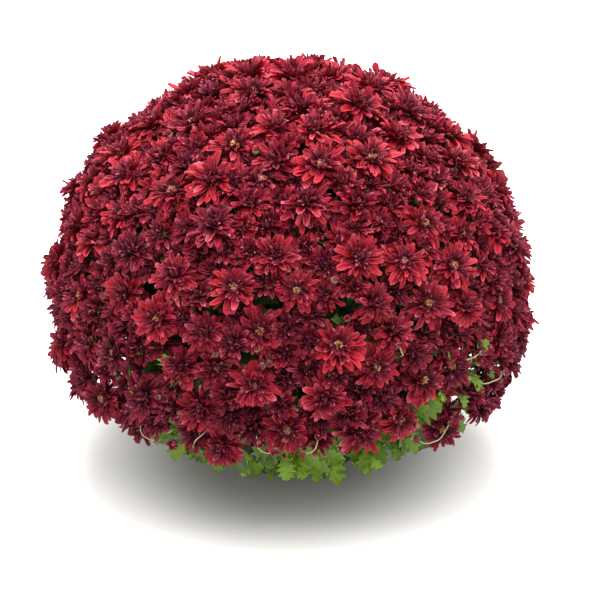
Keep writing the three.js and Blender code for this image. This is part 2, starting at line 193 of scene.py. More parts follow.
def swell(direction):
    """How far the cushion bulges past its sphere in a direction."""
    bulge = 0.0
    for pixel, height in SWELLS_PX:
        middle = direction_at_pixel(pixel, BLOOM_SHELL_RADIUS)
        bulge += height * math.exp(-np.sum((direction - middle) ** 2) / SWELL_SPREAD**2)
    return bulge


# Flowers and buds. They face a little further up than the construction's, each with a tilt of its own
BLOOM_EXTRA_LIFT = 0.2
BLOOM_EXTRA_TILT = 0.24
SIZE_BY_GAP = 0.62
FULL_BLOOM_SIZE = (22 * MM, 25.5 * MM)
SIZE_VARIES = (0.95, 1.05)
FULL_BLOOM_OPENNESS = (0.84, 1.03)
RIPE_SHARE = 0.45
LOW_BLOOM_SINE = -0.13
LOW_BLOOM_SHARE = 0.86
TOP_SINE = 0.5
TOP_GROWTH = 0.38
# Painted shade: how much darker the flowers are painted, by the sine of their height: from the cushion's
# edge to its top, darker low down and brighter at the top
PAINTED_SHADE_BY_SINE = ([-0.2, 0.15, 0.5, 0.8], [0.5, 0.1, -0.05, -0.25])


class Bloom:
    """A flower or bud: its place, the way it faces, how far it is open and how dark it is."""

    def __init__(self, direction, radius, tilt, size, openness, kind):
        self.direction = direction
        self.centre = CUSHION_CENTRE + (radius + swell(direction)) * direction
        tilt = tilt + BLOOM_EXTRA_TILT * rng.uniform(-1, 1, 3)
        self.axis = unit(direction + (HEAD_LIFT + BLOOM_EXTRA_LIFT) * UP + tilt)
        across = unit(np.cross(self.axis, [0.3, 0.9, 0.2]))
        self.axes = np.array([across, np.cross(self.axis, across), self.axis])
        self.size = size
        self.openness = openness
        self.kind = kind
        self.ripe = kind == "full" and rng.uniform() < RIPE_SHARE
        tone = rng.beta(1.0, 1.6) if kind == "full" else rng.uniform(0.4, 1)
        # a random tone plus painted shade by height
        self.tone = tone + np.interp(direction[2], *PAINTED_SHADE_BY_SINE)

    def below(self, depth):
        return self.centre - depth * self.axis


def growth_at(direction):
    return 1 + TOP_GROWTH * max(0, direction[2] - TOP_SINE)


def full_blooms():
    """The open flowers: those seen one by one first, then an even fill, as in the construction."""
    tried = spread_directions(PLACES_TRIED, FILL_EDGE_COSINE)
    kept = keep_clear(seen_directions(FLOWERS_SEEN_PX), tried, HEAD_SPACING)
    places = np.array(kept)
    scatter = Scatter(SCATTER_SEED)
    blooms = []
    for direction in kept:
        radius = BLOOM_SHELL_RADIUS + BLOOM_SHELL_SCATTER * scatter.signed()
        tilt = HEAD_TILT * np.array([scatter.signed(), scatter.signed(), scatter.signed()])
        gaps = np.linalg.norm(places - direction, axis=1) * BLOOM_SHELL_RADIUS
        nearest = np.sort(gaps)[1]
        size = np.clip(SIZE_BY_GAP * nearest, *FULL_BLOOM_SIZE) * rng.uniform(*SIZE_VARIES)
        size *= growth_at(direction)
        if direction[2] < LOW_BLOOM_SINE:
            size *= LOW_BLOOM_SHARE
        blooms.append(Bloom(direction, radius, tilt, size, rng.uniform(*FULL_BLOOM_OPENNESS), "full"))
    return blooms


SMALL_PLACES_TRIED = 7000
SMALL_BLOOM_SPACING = 24 * MM
FAR_SIDE_SPACING = 29 * MM
FAR_SIDE_Y = 0.3
# The cushion's top and both its sides are more crowded
CROWDED_SPACING = 21.5 * MM
CROWDED_REACH = 0.6
LEAF_GAP_REACH = 15 * MM
SMALL_BLOOM_DEPTH = 12 * MM
SMALL_BLOOM_SIZE = (18 * MM, 23 * MM)
SMALL_BLOOM_TILT = 0.22
SMALL_BLOOM_OPENNESS = (0.4, 0.95)
BUD_PLACES_TRIED = 2600
BUD_SPACING = 15 * MM
BUDS_IN_GAPS = 110


def small_blooms(blooms):
    """Younger, half-open flowers that sit deeper, in the gaps between the full ones."""
    taken = [b.direction for b in blooms]
    gaps = seen_directions(LEAF_GAPS_PX)
    tried = [d for d in spread_directions(SMALL_PLACES_TRIED, FILL_EDGE_COSINE)
             if min(np.linalg.norm(d - gap) for gap in gaps) * BLOOM_SHELL_RADIUS > LEAF_GAP_REACH]
    seen = [d for d in tried if d[1] < FAR_SIDE_Y]
    crowded = [d for d in seen if d[2] > TOP_SINE or abs(d[0]) > CROWDED_REACH]
    kept = keep_clear([], crowded, CROWDED_SPACING, others=taken)
    kept = keep_clear(kept, seen, SMALL_BLOOM_SPACING, others=taken)
    kept = keep_clear(kept, tried, FAR_SIDE_SPACING, others=taken)
    small = []
    for direction in kept + seen_directions(SMALL_FLOWERS_SEEN_PX):
        radius = BLOOM_SHELL_RADIUS - rng.uniform(0, SMALL_BLOOM_DEPTH)
        tilt = SMALL_BLOOM_TILT * rng.uniform(-1, 1, 3)
        size = rng.uniform(*SMALL_BLOOM_SIZE) * growth_at(direction)
        small.append(Bloom(direction, radius, tilt, size, rng.uniform(*SMALL_BLOOM_OPENNESS), "small"))
    return small


def bud_places(blooms):
    """Directions of the buds: those seen one by one, then some in the gaps between the flowers."""
    taken = [b.direction for b in blooms]
    tried = spread_directions(BUD_PLACES_TRIED, CUSHION_EDGE_COSINE)[::-1]
    spare = keep_clear([], tried, BUD_SPACING, others=taken)
    rng.shuffle(spare)
    return seen_directions(BUDS_SEEN_PX) + spare[:BUDS_IN_GAPS]


# The ends of the main stems and the hubs of the sprays, as in the construction
stem_directions = spread_directions(MAIN_STEMS, CUSHION_EDGE_COSINE)
stem_ends = [point_in_cushion(d, LOWEST_STEM_SINE, MAIN_STEM_REACH) for d in stem_directions]
spray_directions = spread_directions(SPRAYS, CUSHION_EDGE_COSINE)
hubs = [point_in_cushion(d, LOWEST_HUB_SINE, SPRAY_HUB_REACH) for d in spray_directions]
spray_stem = [int(np.argmax(stem_directions @ d)) for d in spray_directions]

all_blooms = full_blooms()
all_blooms += small_blooms(all_blooms)
all_buds = bud_places(all_blooms)


# Mesh making: everything that grows is a closed loft through rings with a tip at each end
def loft_template(rings, sides):
    """Faces and their places on a map for a loft of some rings: tip, rings in order, tip."""
    last = rings + 1
    middle = [[1 + r * sides + k % sides for k in range(sides + 1)] for r in range(rings)]
    numbers = [[0] * (sides + 1), *middle, [1 + rings * sides] * (sides + 1)]
    faces, places = [], []
    for k in range(sides):
        for r in range(last):
            corner, beside, across, above = (r, k), (r, k + 1), (r + 1, k + 1), (r + 1, k)
            lower, upper = (corner, beside, across), (corner, across, above)
            for face in [upper] if r == 0 else [lower] if r == rings else [lower, upper]:
                faces.append([numbers[q][j] for q, j in face])
                places.append([((j if 0 < q < last else k + 0.5) / sides, q / last) for q, j in face])
    return np.array(faces), np.array(places)


ATTRIBUTES = ("along", "across", "under", "tone", "inner", "lot")
CELL_MARGIN = 0.06
# How far a tube's tip stands out past its end, as a share of its radius
TUBE_END = 0.4


class Growth:
    """Collects lofts and makes one mesh object of them."""

    def __init__(self):
        self.batches = []

    def add(self, tips, rings, ends, material, values, creases=()):
        """tips (copies, 3), rings (copies, rings, sides, 3), ends (copies, 3), values by attribute."""
        copies, count, sides, _ = rings.shape
        points = np.concatenate([tips[:, None], rings.reshape(copies, -1, 3), ends[:, None]], 1)
        flags = np.zeros(points.shape[1], int)
        for bit, column in enumerate(creases):
            flags[1 + column : -1 : sides] = 1 << bit
            flags[[0, -1]] |= 1 << bit
        data = {
            key: np.broadcast_to(values.get(key, 0.0), points.shape[:2]).astype(np.float32)
            for key in ATTRIBUTES
        }
        faces, places = loft_template(count, sides)
        self.batches.append((points, faces, places, material, data, flags))

    def make(self, name, materials):
        cells = sum(len(b[0]) for b in self.batches)
        columns = math.ceil(math.sqrt(cells))
        slots = sorted({b[3] for b in self.batches})
        start, cell = 0, 0
        co, tri, uv, slot, flag = [], [], [], [], []
        data = {key: [] for key in ATTRIBUTES}
        for points, faces, places, material, values, flags in self.batches:
            copies, per = points.shape[:2]
            co.append(points.reshape(-1, 3))
            first = start + per * np.arange(copies)
            tri.append((first[:, None, None] + faces).reshape(-1, 3))
            number = cell + np.arange(copies)
            corner = np.stack([number % columns, number // columns], 1)[:, None, None]
            spread = CELL_MARGIN + (1 - 2 * CELL_MARGIN) * places
            uv.append(((corner + spread) / columns).reshape(-1, 2))
            slot.append(np.full(copies * len(faces), slots.index(material)))
            flag.append(np.tile(flags, copies))
            for key in ATTRIBUTES:
                data[key].append(values[key].ravel())
            start += copies * per
            cell += copies
        co, tri, uv = np.concatenate(co), np.concatenate(tri), np.concatenate(uv)
        mesh = bpy.data.meshes.new(name)
        mesh.vertices.add(len(co))
        mesh.vertices.foreach_set("co", co.astype(np.float32).ravel())
        mesh.loops.add(3 * len(tri))
        mesh.loops.foreach_set("vertex_index", tri.astype(np.int32).ravel())
        mesh.polygons.add(len(tri))
        mesh.polygons.foreach_set("loop_start", (3 * np.arange(len(tri))).astype(np.int32))
        mesh.polygons.foreach_set("material_index", np.concatenate(slot).astype(np.int32))
        mesh.update(calc_edges=True)
        mesh.shade_smooth()
        flags = np.concatenate(flag)
        if flags.any():
            ends = np.empty(2 * len(mesh.edges), np.int32)
            mesh.edges.foreach_get("vertices", ends)
            ends = ends.reshape(-1, 2)
            sharp = (flags[ends[:, 0]] & flags[ends[:, 1]]) > 0
            layer = mesh.attributes.new("sharp_edge", "BOOLEAN", "EDGE")
            layer.data.foreach_set("value", sharp)
        mesh.uv_layers.new(name="OFBake").uv.foreach_set("vector", uv.astype(np.float32).ravel())
        for key in ATTRIBUTES:
            layer = mesh.attributes.new(key, "FLOAT", "POINT")
            layer.data.foreach_set("value", np.concatenate(data[key]))
        for slot_name in slots:
            mesh.materials.append(materials[slot_name])
        piece = bpy.data.objects.new(name, mesh)
        bpy.context.scene.collection.objects.link(piece)
        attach(piece, "root")
        return piece


def frames_along(points):
    """Directions along and across some polylines (copies, steps, 3)."""
    along = unit(np.gradient(points, axis=1))
    helper = np.where(np.abs(along[:, :1, 2:]) > 0.9, np.array([1.0, 0, 0]), UP)
    side = unit(np.cross(np.broadcast_to(helper, along.shape), along))
    return along, side, np.cross(along, side)


def circles(side, other, sides):
    """Points of a circle of radius 1 between each two directions."""
    angle = 2 * math.pi * np.arange(sides) / sides
    return side[..., None, :] * np.cos(angle)[:, None] + other[..., None, :] * np.sin(angle)[:, None]


def tubes(growth, paths, radii, sides, material):
    """Round stems along paths (copies, steps, 3), with radii (copies, steps)."""
    paths, radii = np.asarray(paths), np.asarray(radii)
    along, side, other = frames_along(paths)
    rings = paths[:, :, None] + radii[:, :, None, None] * circles(side, other, sides)
    steps = paths.shape[1]
    place = np.concatenate([[0], np.repeat(np.linspace(0, 1, steps), sides), [1]])
    values = {"along": place, "lot": rng.uniform(size=(len(paths), 1))}
    tips = paths[:, 0] - along[:, 0] * radii[:, :1] * TUBE_END
    ends = paths[:, -1] + along[:, -1] * radii[:, -1:] * TUBE_END
    growth.add(tips, rings, ends, material, values)


def tapered(growth, course, radii, sides, material):
    """One stem along a course, with its radius at each end in mm."""
    tubes(growth, [course], [np.linspace(*radii, len(course)) * MM], sides, material)


def surface(t, columns, below=None):
    """How far along, across and below a loft's blade each of its points is."""
    rings = len(t) - 2
    values = {
        "along": np.concatenate([[0], np.repeat(t[1:-1], len(columns)), [1]]),
        "across": np.concatenate([[0], np.tile(columns, rings), [0]]),
    }
    if below is not None:
        values["under"] = np.concatenate([[0.5], np.tile(below, rings), [0.5]])
    return values


def smooth_course(points, steps):
    """A smooth line through some points, evenly sampled."""
    points = [np.asarray(p, float) for p in points]
    points = [2 * points[0] - points[1]] + points + [2 * points[-1] - points[-2]]
    spans = len(points) - 3
    course = []
    for t in np.linspace(0, spans, steps):
        i = min(int(t), spans - 1)
        u = t - i
        a, b, c, d = points[i : i + 4]
        second, third = 2 * a - 5 * b + 4 * c - d, 3 * b - a - 3 * c + d
        course.append(0.5 * (2 * b + (c - a) * u + second * u**2 + third * u**3))
    return np.array(course)


def bezier(start, middle, end, steps):
    t = np.linspace(0, 1, steps)[:, None]
    return (1 - t) ** 2 * start + 2 * t * (1 - t) * middle + t * t * end


# Petals
FULL_SIZE = 26.5 * MM
PETAL_ROWS = [
    # count, length, width, foot radius, foot height, rise and bend in degrees, place from rim to middle
    (17, 23.2, 7.1, 3.6, 0.0, 0, -32, 0.0),
    (17, 22.0, 6.8, 3.3, 0.8, 10, -27, 0.08),
    (16, 19.8, 6.2, 3.0, 1.6, 20, -16, 0.18),
    (15, 16.8, 5.0, 2.6, 2.4, 31, -2, 0.5),
    (16, 13.8, 3.4, 2.2, 3.0, 42, 14, 0.9),
    (14, 11.2, 2.7, 1.6, 3.4, 55, 28, 1.0),
    (11, 8.2, 2.1, 0.9, 3.6, 72, 34, 1.0),
]
PLAIN_ROWS_FROM = 4
SMALL_ROWS_FROM = 1
SMALL_ROW_SHARE = 0.8
RIPE_OPENING = (0, 0, 0, 5, 12, 22, 0)
ROW_TURN = 0.7
PETAL_STATIONS = {3: [0.3, 0.68, 0.93], 2: [0.5, 0.9]}
PETAL_THICKNESS = 0.45 * MM
ATTACH_DEPTH = 4 * MM
CLOSED_RISE = 80
# Degrees that a petal's own weight turns it down, when its flower faces sideways
PETAL_SAG = 9
# How much single petals differ from their row, and the limits of their length and width as shares of it
PETAL_SPREAD = {
    "angle": 0.17, "length": 0.13, "width": 0.14, "rise": 10, "bend": 24, "sway": 0.17, "twist": 0.55,
    "cup": 0.2, "tone": 0.15,
}
LENGTH_LIMITS = (0.62, 1.16)
WIDTH_LIMITS = (0.6, 1.35)
# Where a petal is widest, and how wide its foot is
WIDEST_AT = 0.7
FOOT_SHARE = 0.34


def petal_half_width(t, blunt):
    """Share of the full half width: a narrow foot, then wider, and a blunt or pointed end."""
    shoulder = FOOT_SHARE + (1 - FOOT_SHARE) * np.sin(np.clip(t / WIDEST_AT, 0, 1) * math.pi / 2)
    past = np.clip(t - WIDEST_AT, 0, 1) / (1 - WIDEST_AT)
    tip = np.clip(1 - past ** (1.5 + 1.9 * blunt), 0, 1)
    return shoulder * tip ** (0.85 - 0.35 * blunt)


def limited(middle, spread, count, lowest, highest):
    return rng.normal(middle, spread, count).clip(lowest, highest)


def petal_ring(bloom, foot, height, values):
    """A ring of petals: the values of each, and what they share."""
    count = len(values["angle"])
    scale = bloom.size / FULL_SIZE
    return {
        "axes": np.broadcast_to(bloom.axes, (count, 3, 3)),
        "origin": np.broadcast_to(bloom.below(ATTACH_DEPTH), (count, 3)),
        "foot": np.full(count, foot * MM * scale),
        "height": np.full(count, height * MM * scale),
        **values,
        "lot": rng.uniform(size=count),
    }


def petal_rows(blooms):
    """The petals of some blooms, gathered by how many rings and sides each has."""
    gathered = {}
    spread = PETAL_SPREAD
    for bloom in blooms:
        spin = rng.uniform(0, 2 * math.pi)
        scale = bloom.size / FULL_SIZE
        small = bloom.kind == "small"
        first = SMALL_ROWS_FROM if small else 0
        last = len(PETAL_ROWS) - 1 if bloom.ripe else len(PETAL_ROWS)
        for row in range(first, last):
            count, length, width, foot, height, rise, bend, inner = PETAL_ROWS[row]
            count = round(count * SMALL_ROW_SHARE) if small else count
            rings = 2 if small or row >= PLAIN_ROWS_FROM - 1 or bloom.direction[1] > FAR_SIDE_Y else 3
            sides = 3 if row >= PLAIN_ROWS_FROM else 4
            angle = spin + 2 * math.pi * (np.arange(count) + 0.5 * (row % 2)) / count
            opened = rise + (1 - bloom.openness) * (CLOSED_RISE - rise)
            if bloom.ripe:
                opened -= RIPE_OPENING[row]
            upward = np.cos(angle) * bloom.axes[0][2] + np.sin(angle) * bloom.axes[1][2]
            opened = opened + PETAL_SAG * upward
            gathered.setdefault((rings, sides), []).append(petal_ring(bloom, foot, height, {
                "angle": angle + rng.normal(0, spread["angle"], count),
                "length": length * MM * scale * limited(0.98, spread["length"], count, *LENGTH_LIMITS),
                "width": width * MM * scale * limited(1, spread["width"], count, *WIDTH_LIMITS),
                "rise": np.radians(opened + rng.normal(0, spread["rise"], count)),
                "bend": np.radians(bend + rng.normal(0, spread["bend"], count)),
                "sway": rng.normal(0, spread["sway"], count),
                "twist": rng.normal(0, spread["twist"], count),
                "cup": limited(0.45 + 0.45 * inner, spread["cup"], count, 0.05, 1.2),
                "blunt": rng.uniform(0.25, 1.25, count).clip(0, 1),
                "tone": np.clip(bloom.tone + rng.normal(0, spread["tone"], count), 0, 1),
                "inner": np.full(count, inner),
            }))
            spin += ROW_TURN
    return gathered


def petal_section(sides, half, lift):
    """Corners around a petal: places across it and above its middle line, and how far under each is."""
    keel = -PETAL_THICKNESS + 0 * half
    if sides == 3:
        return [(-half, lift), (half, lift), (0 * half, keel)], [-1, 1, 0], [0.5, 0.5, 1], (0, 1)
    corners = [(-half, lift), (0 * half, 0 * half), (half, lift), (0 * half, keel)]
    return corners, [-1, 0, 1, 0], [0.5, 0, 0.5, 1], (0, 2)


def add_petals(growth, rows, ring_count, sides):
    p = {key: np.concatenate([row[key] for row in rows]) for key in rows[0]}
    axes, origin = p.pop("axes"), p.pop("origin")
    p = {key: value[:, None] for key, value in p.items()}
    t = np.array([0.0] + PETAL_STATIONS[ring_count] + [1.0])
    bend = np.where(np.abs(p["bend"]) < 1e-3, 1e-3, p["bend"])
    rise, length = p["rise"], p["length"]
    lean = rise + bend * t
    out = p["foot"] + length * (np.sin(lean) - np.sin(rise)) / bend
    high = p["height"] + length * (np.cos(rise) - np.cos(lean)) / bend
    aside = p["sway"] * length * t * t
    cosine, sine = np.cos(p["angle"]), np.sin(p["angle"])
    zero = np.zeros_like(cosine)
    radial = np.stack([cosine, sine, zero], 2)
    tangent = np.stack([-sine, cosine, zero], 2)
    centre = radial * out[..., None] + tangent * aside[..., None] + UP * high[..., None]
    normal = -radial * np.sin(lean)[..., None] + UP * np.cos(lean)[..., None]
    twist = (p["twist"] * t)[..., None]
    side = tangent * np.cos(twist) + normal * np.sin(twist)
    face = normal * np.cos(twist) - tangent * np.sin(twist)
    half = p["width"] / 2 * petal_half_width(t, p["blunt"])
    corners, columns, below, creases = petal_section(sides, half, p["cup"] * half)
    rings = np.stack([centre + side * x[..., None] + face * y[..., None] for x, y in corners], 2)
    rings = np.einsum("krsi,kij->krsj", rings[:, 1:-1], axes) + origin[:, None, None]
    tips, ends = (np.einsum("ki,kij->kj", centre[:, i], axes) + origin for i in (0, -1))
    values = surface(t, columns, below)
    values.update({key: p[key] for key in ("tone", "inner", "lot")})
    growth.add(tips, rings, ends, "bloom", values, creases)


BUD_PETAL_ROWS = [
    # count, length, width, foot radius, rise and bend in degrees
    (9, 6.6, 3.0, 2.5, 84, 42),
    (6, 6.0, 2.6, 1.4, 88, 30),
]
BUD_PETAL_HEIGHT = 2.4
BUD_ROW_TURN = 0.4
# Degrees that the petals of an open bud lean out further
BUD_OPENING = 38


def bud_petals(buds):
    """A tuft of short petals that close over each bud, wider apart where it opens."""
    rows = []
    for bud in buds:
        scale = bud.size / FULL_SIZE
        spin = rng.uniform(0, 2 * math.pi)
        for count, length, width, foot, rise, bend in BUD_PETAL_ROWS:
            spin += BUD_ROW_TURN
            rows.append(petal_ring(bud, foot, BUD_PETAL_HEIGHT, {
                "angle": spin + 2 * math.pi * np.arange(count) / count + rng.normal(0, 0.08, count),
                "length": length * MM * scale * rng.normal(1, 0.1, count),
                "width": width * MM * scale * rng.normal(1, 0.1, count),
                "rise": np.radians(rise - BUD_OPENING * bud.openness + rng.normal(0, 4, count)),
                "bend": np.radians(np.full(count, bend)),
                "sway": rng.normal(0, 0.05, count),
                "twist": rng.normal(0, 0.2, count),
                "cup": np.full(count, 0.7),
                "blunt": rng.uniform(0.4, 1, count),
                "tone": np.full(count, bud.tone),
                "inner": np.full(count, 0.0),
            }))
    return rows


# Green parts of a flower and the dome at its middle: heights from its attachment and radii, in mm
CALYX_HEIGHTS = [-10, -9.2, -6.8, -2.8, -0.6, -0.2]
CALYX_RADII = [0, 2.0, 4.6, 6.4, 5.2, 0]
DOME_HEIGHTS = [0.5, 2.0, 4.6, 6.6, 7.4]
DOME_RADII = [0, 3.4, 3.6, 2.2, 0]
RIPE_DOME_RADII = [0, 5.6, 6.4, 4.4, 0]
BUD_CUP_HEIGHTS = [-1, -0.3, 1.2, 3.0, 4.2, 4.4]
BUD_CUP_RADII = [0, 1.6, 2.7, 3.1, 2.7, 0]
BUD_HEIGHTS = [1, 2, 3.8, 5.6, 6.6, 7]
BUD_RADII = [0, 2.2, 2.6, 2.0, 1.0, 0]


def profile_lofts(growth, blooms, heights, radii, sides, material):
    """Round cups or domes around the axes of some blooms."""
    if not blooms:
        return
    origin = np.array([b.below(ATTACH_DEPTH) for b in blooms])
    side, other, axis = np.array([b.axes for b in blooms]).swapaxes(0, 1)
    scale = np.array([b.size / FULL_SIZE for b in blooms])[:, None]
    heights, radii = np.array(heights) * MM, np.array(radii) * MM
    centres = origin[:, None] + axis[:, None] * (heights * scale)[..., None]
    wide = (radii[1:-1] * scale)[:, :, None, None]
    rings = centres[:, 1:-1, None] + wide * circles(side, other, sides)[:, None]
    lot = rng.uniform(size=(len(blooms), 1))
    ripe = np.array([[float(b.ripe)] for b in blooms])
    values = surface(np.linspace(0, 1, len(radii)), np.arange(sides) % 2)
    values.update(lot=lot, tone=lot, inner=ripe)
    growth.add(centres[:, 0], rings, centres[:, -1], material, values)


# Leaves: lobed blades with a short stalk
LEAF_OUTLINES = {
    # place along, share of the half width, how far its edge reaches forward
    "fine": [
        (0.05, 0.05, 0), (0.13, 0.07, 0), (0.19, 0.6, 0.03), (0.27, 0.34, 0), (0.36, 0.9, 0.06),
        (0.45, 0.42, 0), (0.55, 1.0, 0.07), (0.63, 0.5, 0), (0.73, 0.74, 0.06), (0.81, 0.32, 0),
        (0.88, 0.4, 0.03), (0.95, 0.16, 0),
    ],
    "plain": [(0.08, 0.1, 0), (0.26, 0.8, 0.04), (0.42, 0.42, 0), (0.62, 1.0, 0.08), (0.84, 0.3, 0.02)],
}
# Corners around a blade: place across it, and 1 for its upper side
LEAF_CORNERS = {
    "fine": [(-1, 1), (-0.5, 1), (0, 1), (0.5, 1), (1, 1), (0, 0)],
    "plain": [(-1, 1), (0, 1), (1, 1), (0, 0)],
}
LEAF_THICKNESS = 0.4 * MM
# How far a blade is folded at its middle vein, and how much it and its edges wave, as shares of its size
LEAF_FOLD = (0.1, 0.4)
LEAF_RIPPLE = 0.03
LEAF_WAVE = 0.14


def add_leaves(growth, leaves, detail, material):
    """leaves: (base, direction, facing, length, width, curl, tone) each."""
    if not leaves:
        return
    base, direction, facing = (np.array([leaf[i] for leaf in leaves]) for i in range(3))
    length, width, curl, tone = (np.array([leaf[i] for leaf in leaves])[:, None] for i in range(3, 7))
    direction = unit(direction)
    side = unit(np.cross(facing, direction))
    facing = np.cross(direction, side)
    t, share, ahead = np.array([(0, 0, 0)] + LEAF_OUTLINES[detail] + [(1, 0, 0)]).T
    lean = -curl * t
    straight = np.abs(curl) < 1e-3
    forward = length * (np.sin(lean) / np.where(straight, 1e-3, -curl))
    fall = length * ((np.cos(lean) - 1) / np.where(straight, 1e-3, curl))
    axis, up = direction[:, None], facing[:, None]
    ripple = LEAF_RIPPLE * length * np.sin(9 * t + 6 * tone) * t
    centre = base[:, None] + axis * forward[..., None] + up * (fall + ripple)[..., None]
    face = up * np.cos(lean)[..., None] - axis * np.sin(lean)[..., None]
    half = width / 2 * share
    fold = rng.uniform(*LEAF_FOLD, (len(leaves), 1))
    corners, columns, below = [], [], []
    for x, top in LEAF_CORNERS[detail]:
        wave = LEAF_WAVE * half * np.sin(16 * t + 3 * x + 9 * tone) * abs(x)
        lift = fold * half * x * x + wave - (0 if top else LEAF_THICKNESS)
        forth = axis * (abs(x) * ahead * length)[..., None]
        corners.append(centre + forth + side[:, None] * (x * half)[..., None] + face * lift[..., None])
        columns.append(x)
        below.append(0.5 if abs(x) == 1 else 1 - top)
    rings = np.stack(corners, 2)[:, 1:-1]
    values = surface(t, columns, below)
    values.update(tone=tone, lot=rng.uniform(size=(len(leaves), 1)))
    edges = (0, columns.index(1))
    growth.add(centre[:, 0], rings, centre[:, -1], material, values, edges)


# Materials
class Nodes:
    """A material's nodes, made by short calls that return sockets."""

    def __init__(self, name, roughness, specular=0.4):
        self.material = bpy.data.materials.new(name)
        self.material.use_nodes = True
        self.tree = self.material.node_tree
        self.shader = self.tree.nodes["Principled BSDF"]
        self.shader.inputs["Roughness"].default_value = roughness
        self.shader.inputs["Specular IOR Level"].default_value = specular

    def put(self, socket, value):
        if isinstance(value, (int, float, tuple)):
            socket.default_value = value
        else:
            self.tree.links.new(value, socket)

    def new(self, kind, *values, **named):
        """A node of a kind, with values or sockets for its inputs in their order, or by name."""
        node = self.tree.nodes.new("ShaderNode" + kind)
        for socket, value in zip(node.inputs, values):
            self.put(socket, value)
        for key, value in named.items():
            self.put(node.inputs[key], value)
        return node

    def attribute(self, name):
        node = self.new("Attribute")
        node.attribute_name = name
        return node.outputs["Fac"]

    def math(self, operation, first, second=0.0, third=0.0, clamp=False):
        node = self.new("Math", first, second, third)
        node.operation = operation
        node.use_clamp = clamp
        return node.outputs[0]

    def times(self, first, second, clamp=False):
        return self.math("MULTIPLY", first, second, clamp=clamp)

    def plus(self, first, second):
        return self.math("ADD", first, second)

    def minus(self, first, second, clamp=False):
        return self.math("SUBTRACT", first, second, clamp=clamp)

    def scaled(self, value, factor, more):
        return self.math("MULTIPLY_ADD", value, factor, more)

    def mix(self, share, first, second, blend="MIX"):
        node = self.new("Mix", Factor=share)
        node.data_type = "RGBA"
        node.blend_type = blend
        node.clamp_factor = True
        for key, value in (("A", first), ("B", second)):
            socket = [s for s in node.inputs if s.name == key and s.type == "RGBA"][0]
            self.put(socket, (*value, 1.0) if isinstance(value, tuple) else value)
        return [s for s in node.outputs if s.type == "RGBA"][0]

    def ramp(self, share, stops):
        node = self.new("ValToRGB", share)
        while len(node.color_ramp.elements) < len(stops):
            node.color_ramp.elements.new(0.5)
        for element, (position, colour) in zip(node.color_ramp.elements, stops):
            element.position = position
            element.color = (*colour, 1.0)
        return node.outputs["Color"]

    def vector(self, x, y, z):
        return self.new("CombineXYZ", x, y, z).outputs[0]

    def place(self):
        return self.new("TexCoord").outputs["Object"]

    def height(self):
        return self.new("SeparateXYZ", self.place()).outputs["Z"]

    def noise(self, scale, detail=3.0, roughness=0.55, at=None):
        at = self.place() if at is None else at
        node = self.new("TexNoise", Vector=at, Scale=scale, Detail=detail, Roughness=roughness)
        return node.outputs["Fac"]

    def bump(self, height, distance, strength=0.5):
        node = self.new("Bump", Height=height, Distance=distance, Strength=strength)
        self.tree.links.new(node.outputs["Normal"], self.shader.inputs["Normal"])

    def colour(self, socket):
        self.tree.links.new(socket, self.shader.inputs["Base Color"])
        return self.material


def petal_material():
    n = Nodes("petal", 0.55, 0.15)
    along, across, under, tone, inner, lot = map(n.attribute, ATTRIBUTES)
    edge = n.math("ABSOLUTE", across)
    bright = n.ramp(along, [
        (0.0, (0.06, 0.0008, 0.006)), (0.3, (0.2, 0.002, 0.01)), (0.6, (0.32, 0.005, 0.015)),
        (0.85, (0.4, 0.011, 0.024)), (1.0, (0.43, 0.034, 0.05)),
    ])
    dark = n.ramp(along, [
        (0.0, (0.012, 0.0008, 0.005)), (0.4, (0.05, 0.0012, 0.009)), (0.8, (0.14, 0.003, 0.016)),
        (1.0, (0.21, 0.012, 0.034)),
    ])
    top = n.mix(tone, bright, dark)
    # Inner petals darker: partly their own deeper colour as unopened petals, partly painted shade inside
    # the flower's centre
    middle = n.ramp(along, [
        (0.0, (0.01, 0.0007, 0.004)), (0.5, (0.03, 0.001, 0.008)), (0.85, (0.07, 0.002, 0.014)),
        (1.0, (0.16, 0.016, 0.04)),
    ])
    top = n.mix(n.times(inner, 0.85), top, middle)
    pale_rim = n.times(n.math("POWER", edge, 4.0), n.times(along, lot))
    pale_end = n.times(n.math("POWER", along, 9.0), n.math("GREATER_THAN", lot, 0.82))
    pale = n.math("MAXIMUM", n.times(pale_rim, 0.45), n.times(pale_end, 0.85))
    top = n.mix(pale, top, (0.62, 0.15, 0.2))
    back = n.mix(0.6, n.mix(tone, bright, dark), (0.42, 0.08, 0.12))
    both = n.mix(n.times(n.minus(under, 0.5, clamp=True), 2.0), top, back)
    streak_at = n.vector(n.times(across, 5.0), n.times(along, 1.3), n.times(lot, 40.0))
    streak = n.noise(2.2, 4.0, 0.6, streak_at)
    # Streaks are the petal's own veining; the groove term also paints shade along the grooves' low lines
    groove = n.math("COSINE", n.times(across, 2.5 * math.pi))
    streaks_and_groove_shade = n.plus(n.scaled(streak, 1.9, 0.08), n.times(groove, 0.14))
    shaded = n.mix(1.0, both, n.vector(streaks_and_groove_shade, streaks_and_groove_shade, streaks_and_groove_shade), "MULTIPLY")
    n.bump(n.plus(streak, n.times(groove, 0.5)), 0.8 * MM, 0.8)
    return n.colour(shaded)


def centre_material():
    n = Nodes("bloom_centre", 0.6, 0.3)
    speck = n.noise(620.0, 2.0)
    ripe = n.attribute("inner")
    dots = n.math("GREATER_THAN", n.scaled(ripe, 0.1, speck), 0.62)
    base = n.mix(n.noise(260.0), (0.035, 0.0015, 0.008), (0.12, 0.006, 0.015))
    tan = n.mix(n.attribute("lot"), (0.5, 0.27, 0.07), (0.36, 0.1, 0.05))
    n.bump(speck, 0.9 * MM, 0.9)
    return n.colour(n.mix(n.times(dots, 0.85), base, tan))


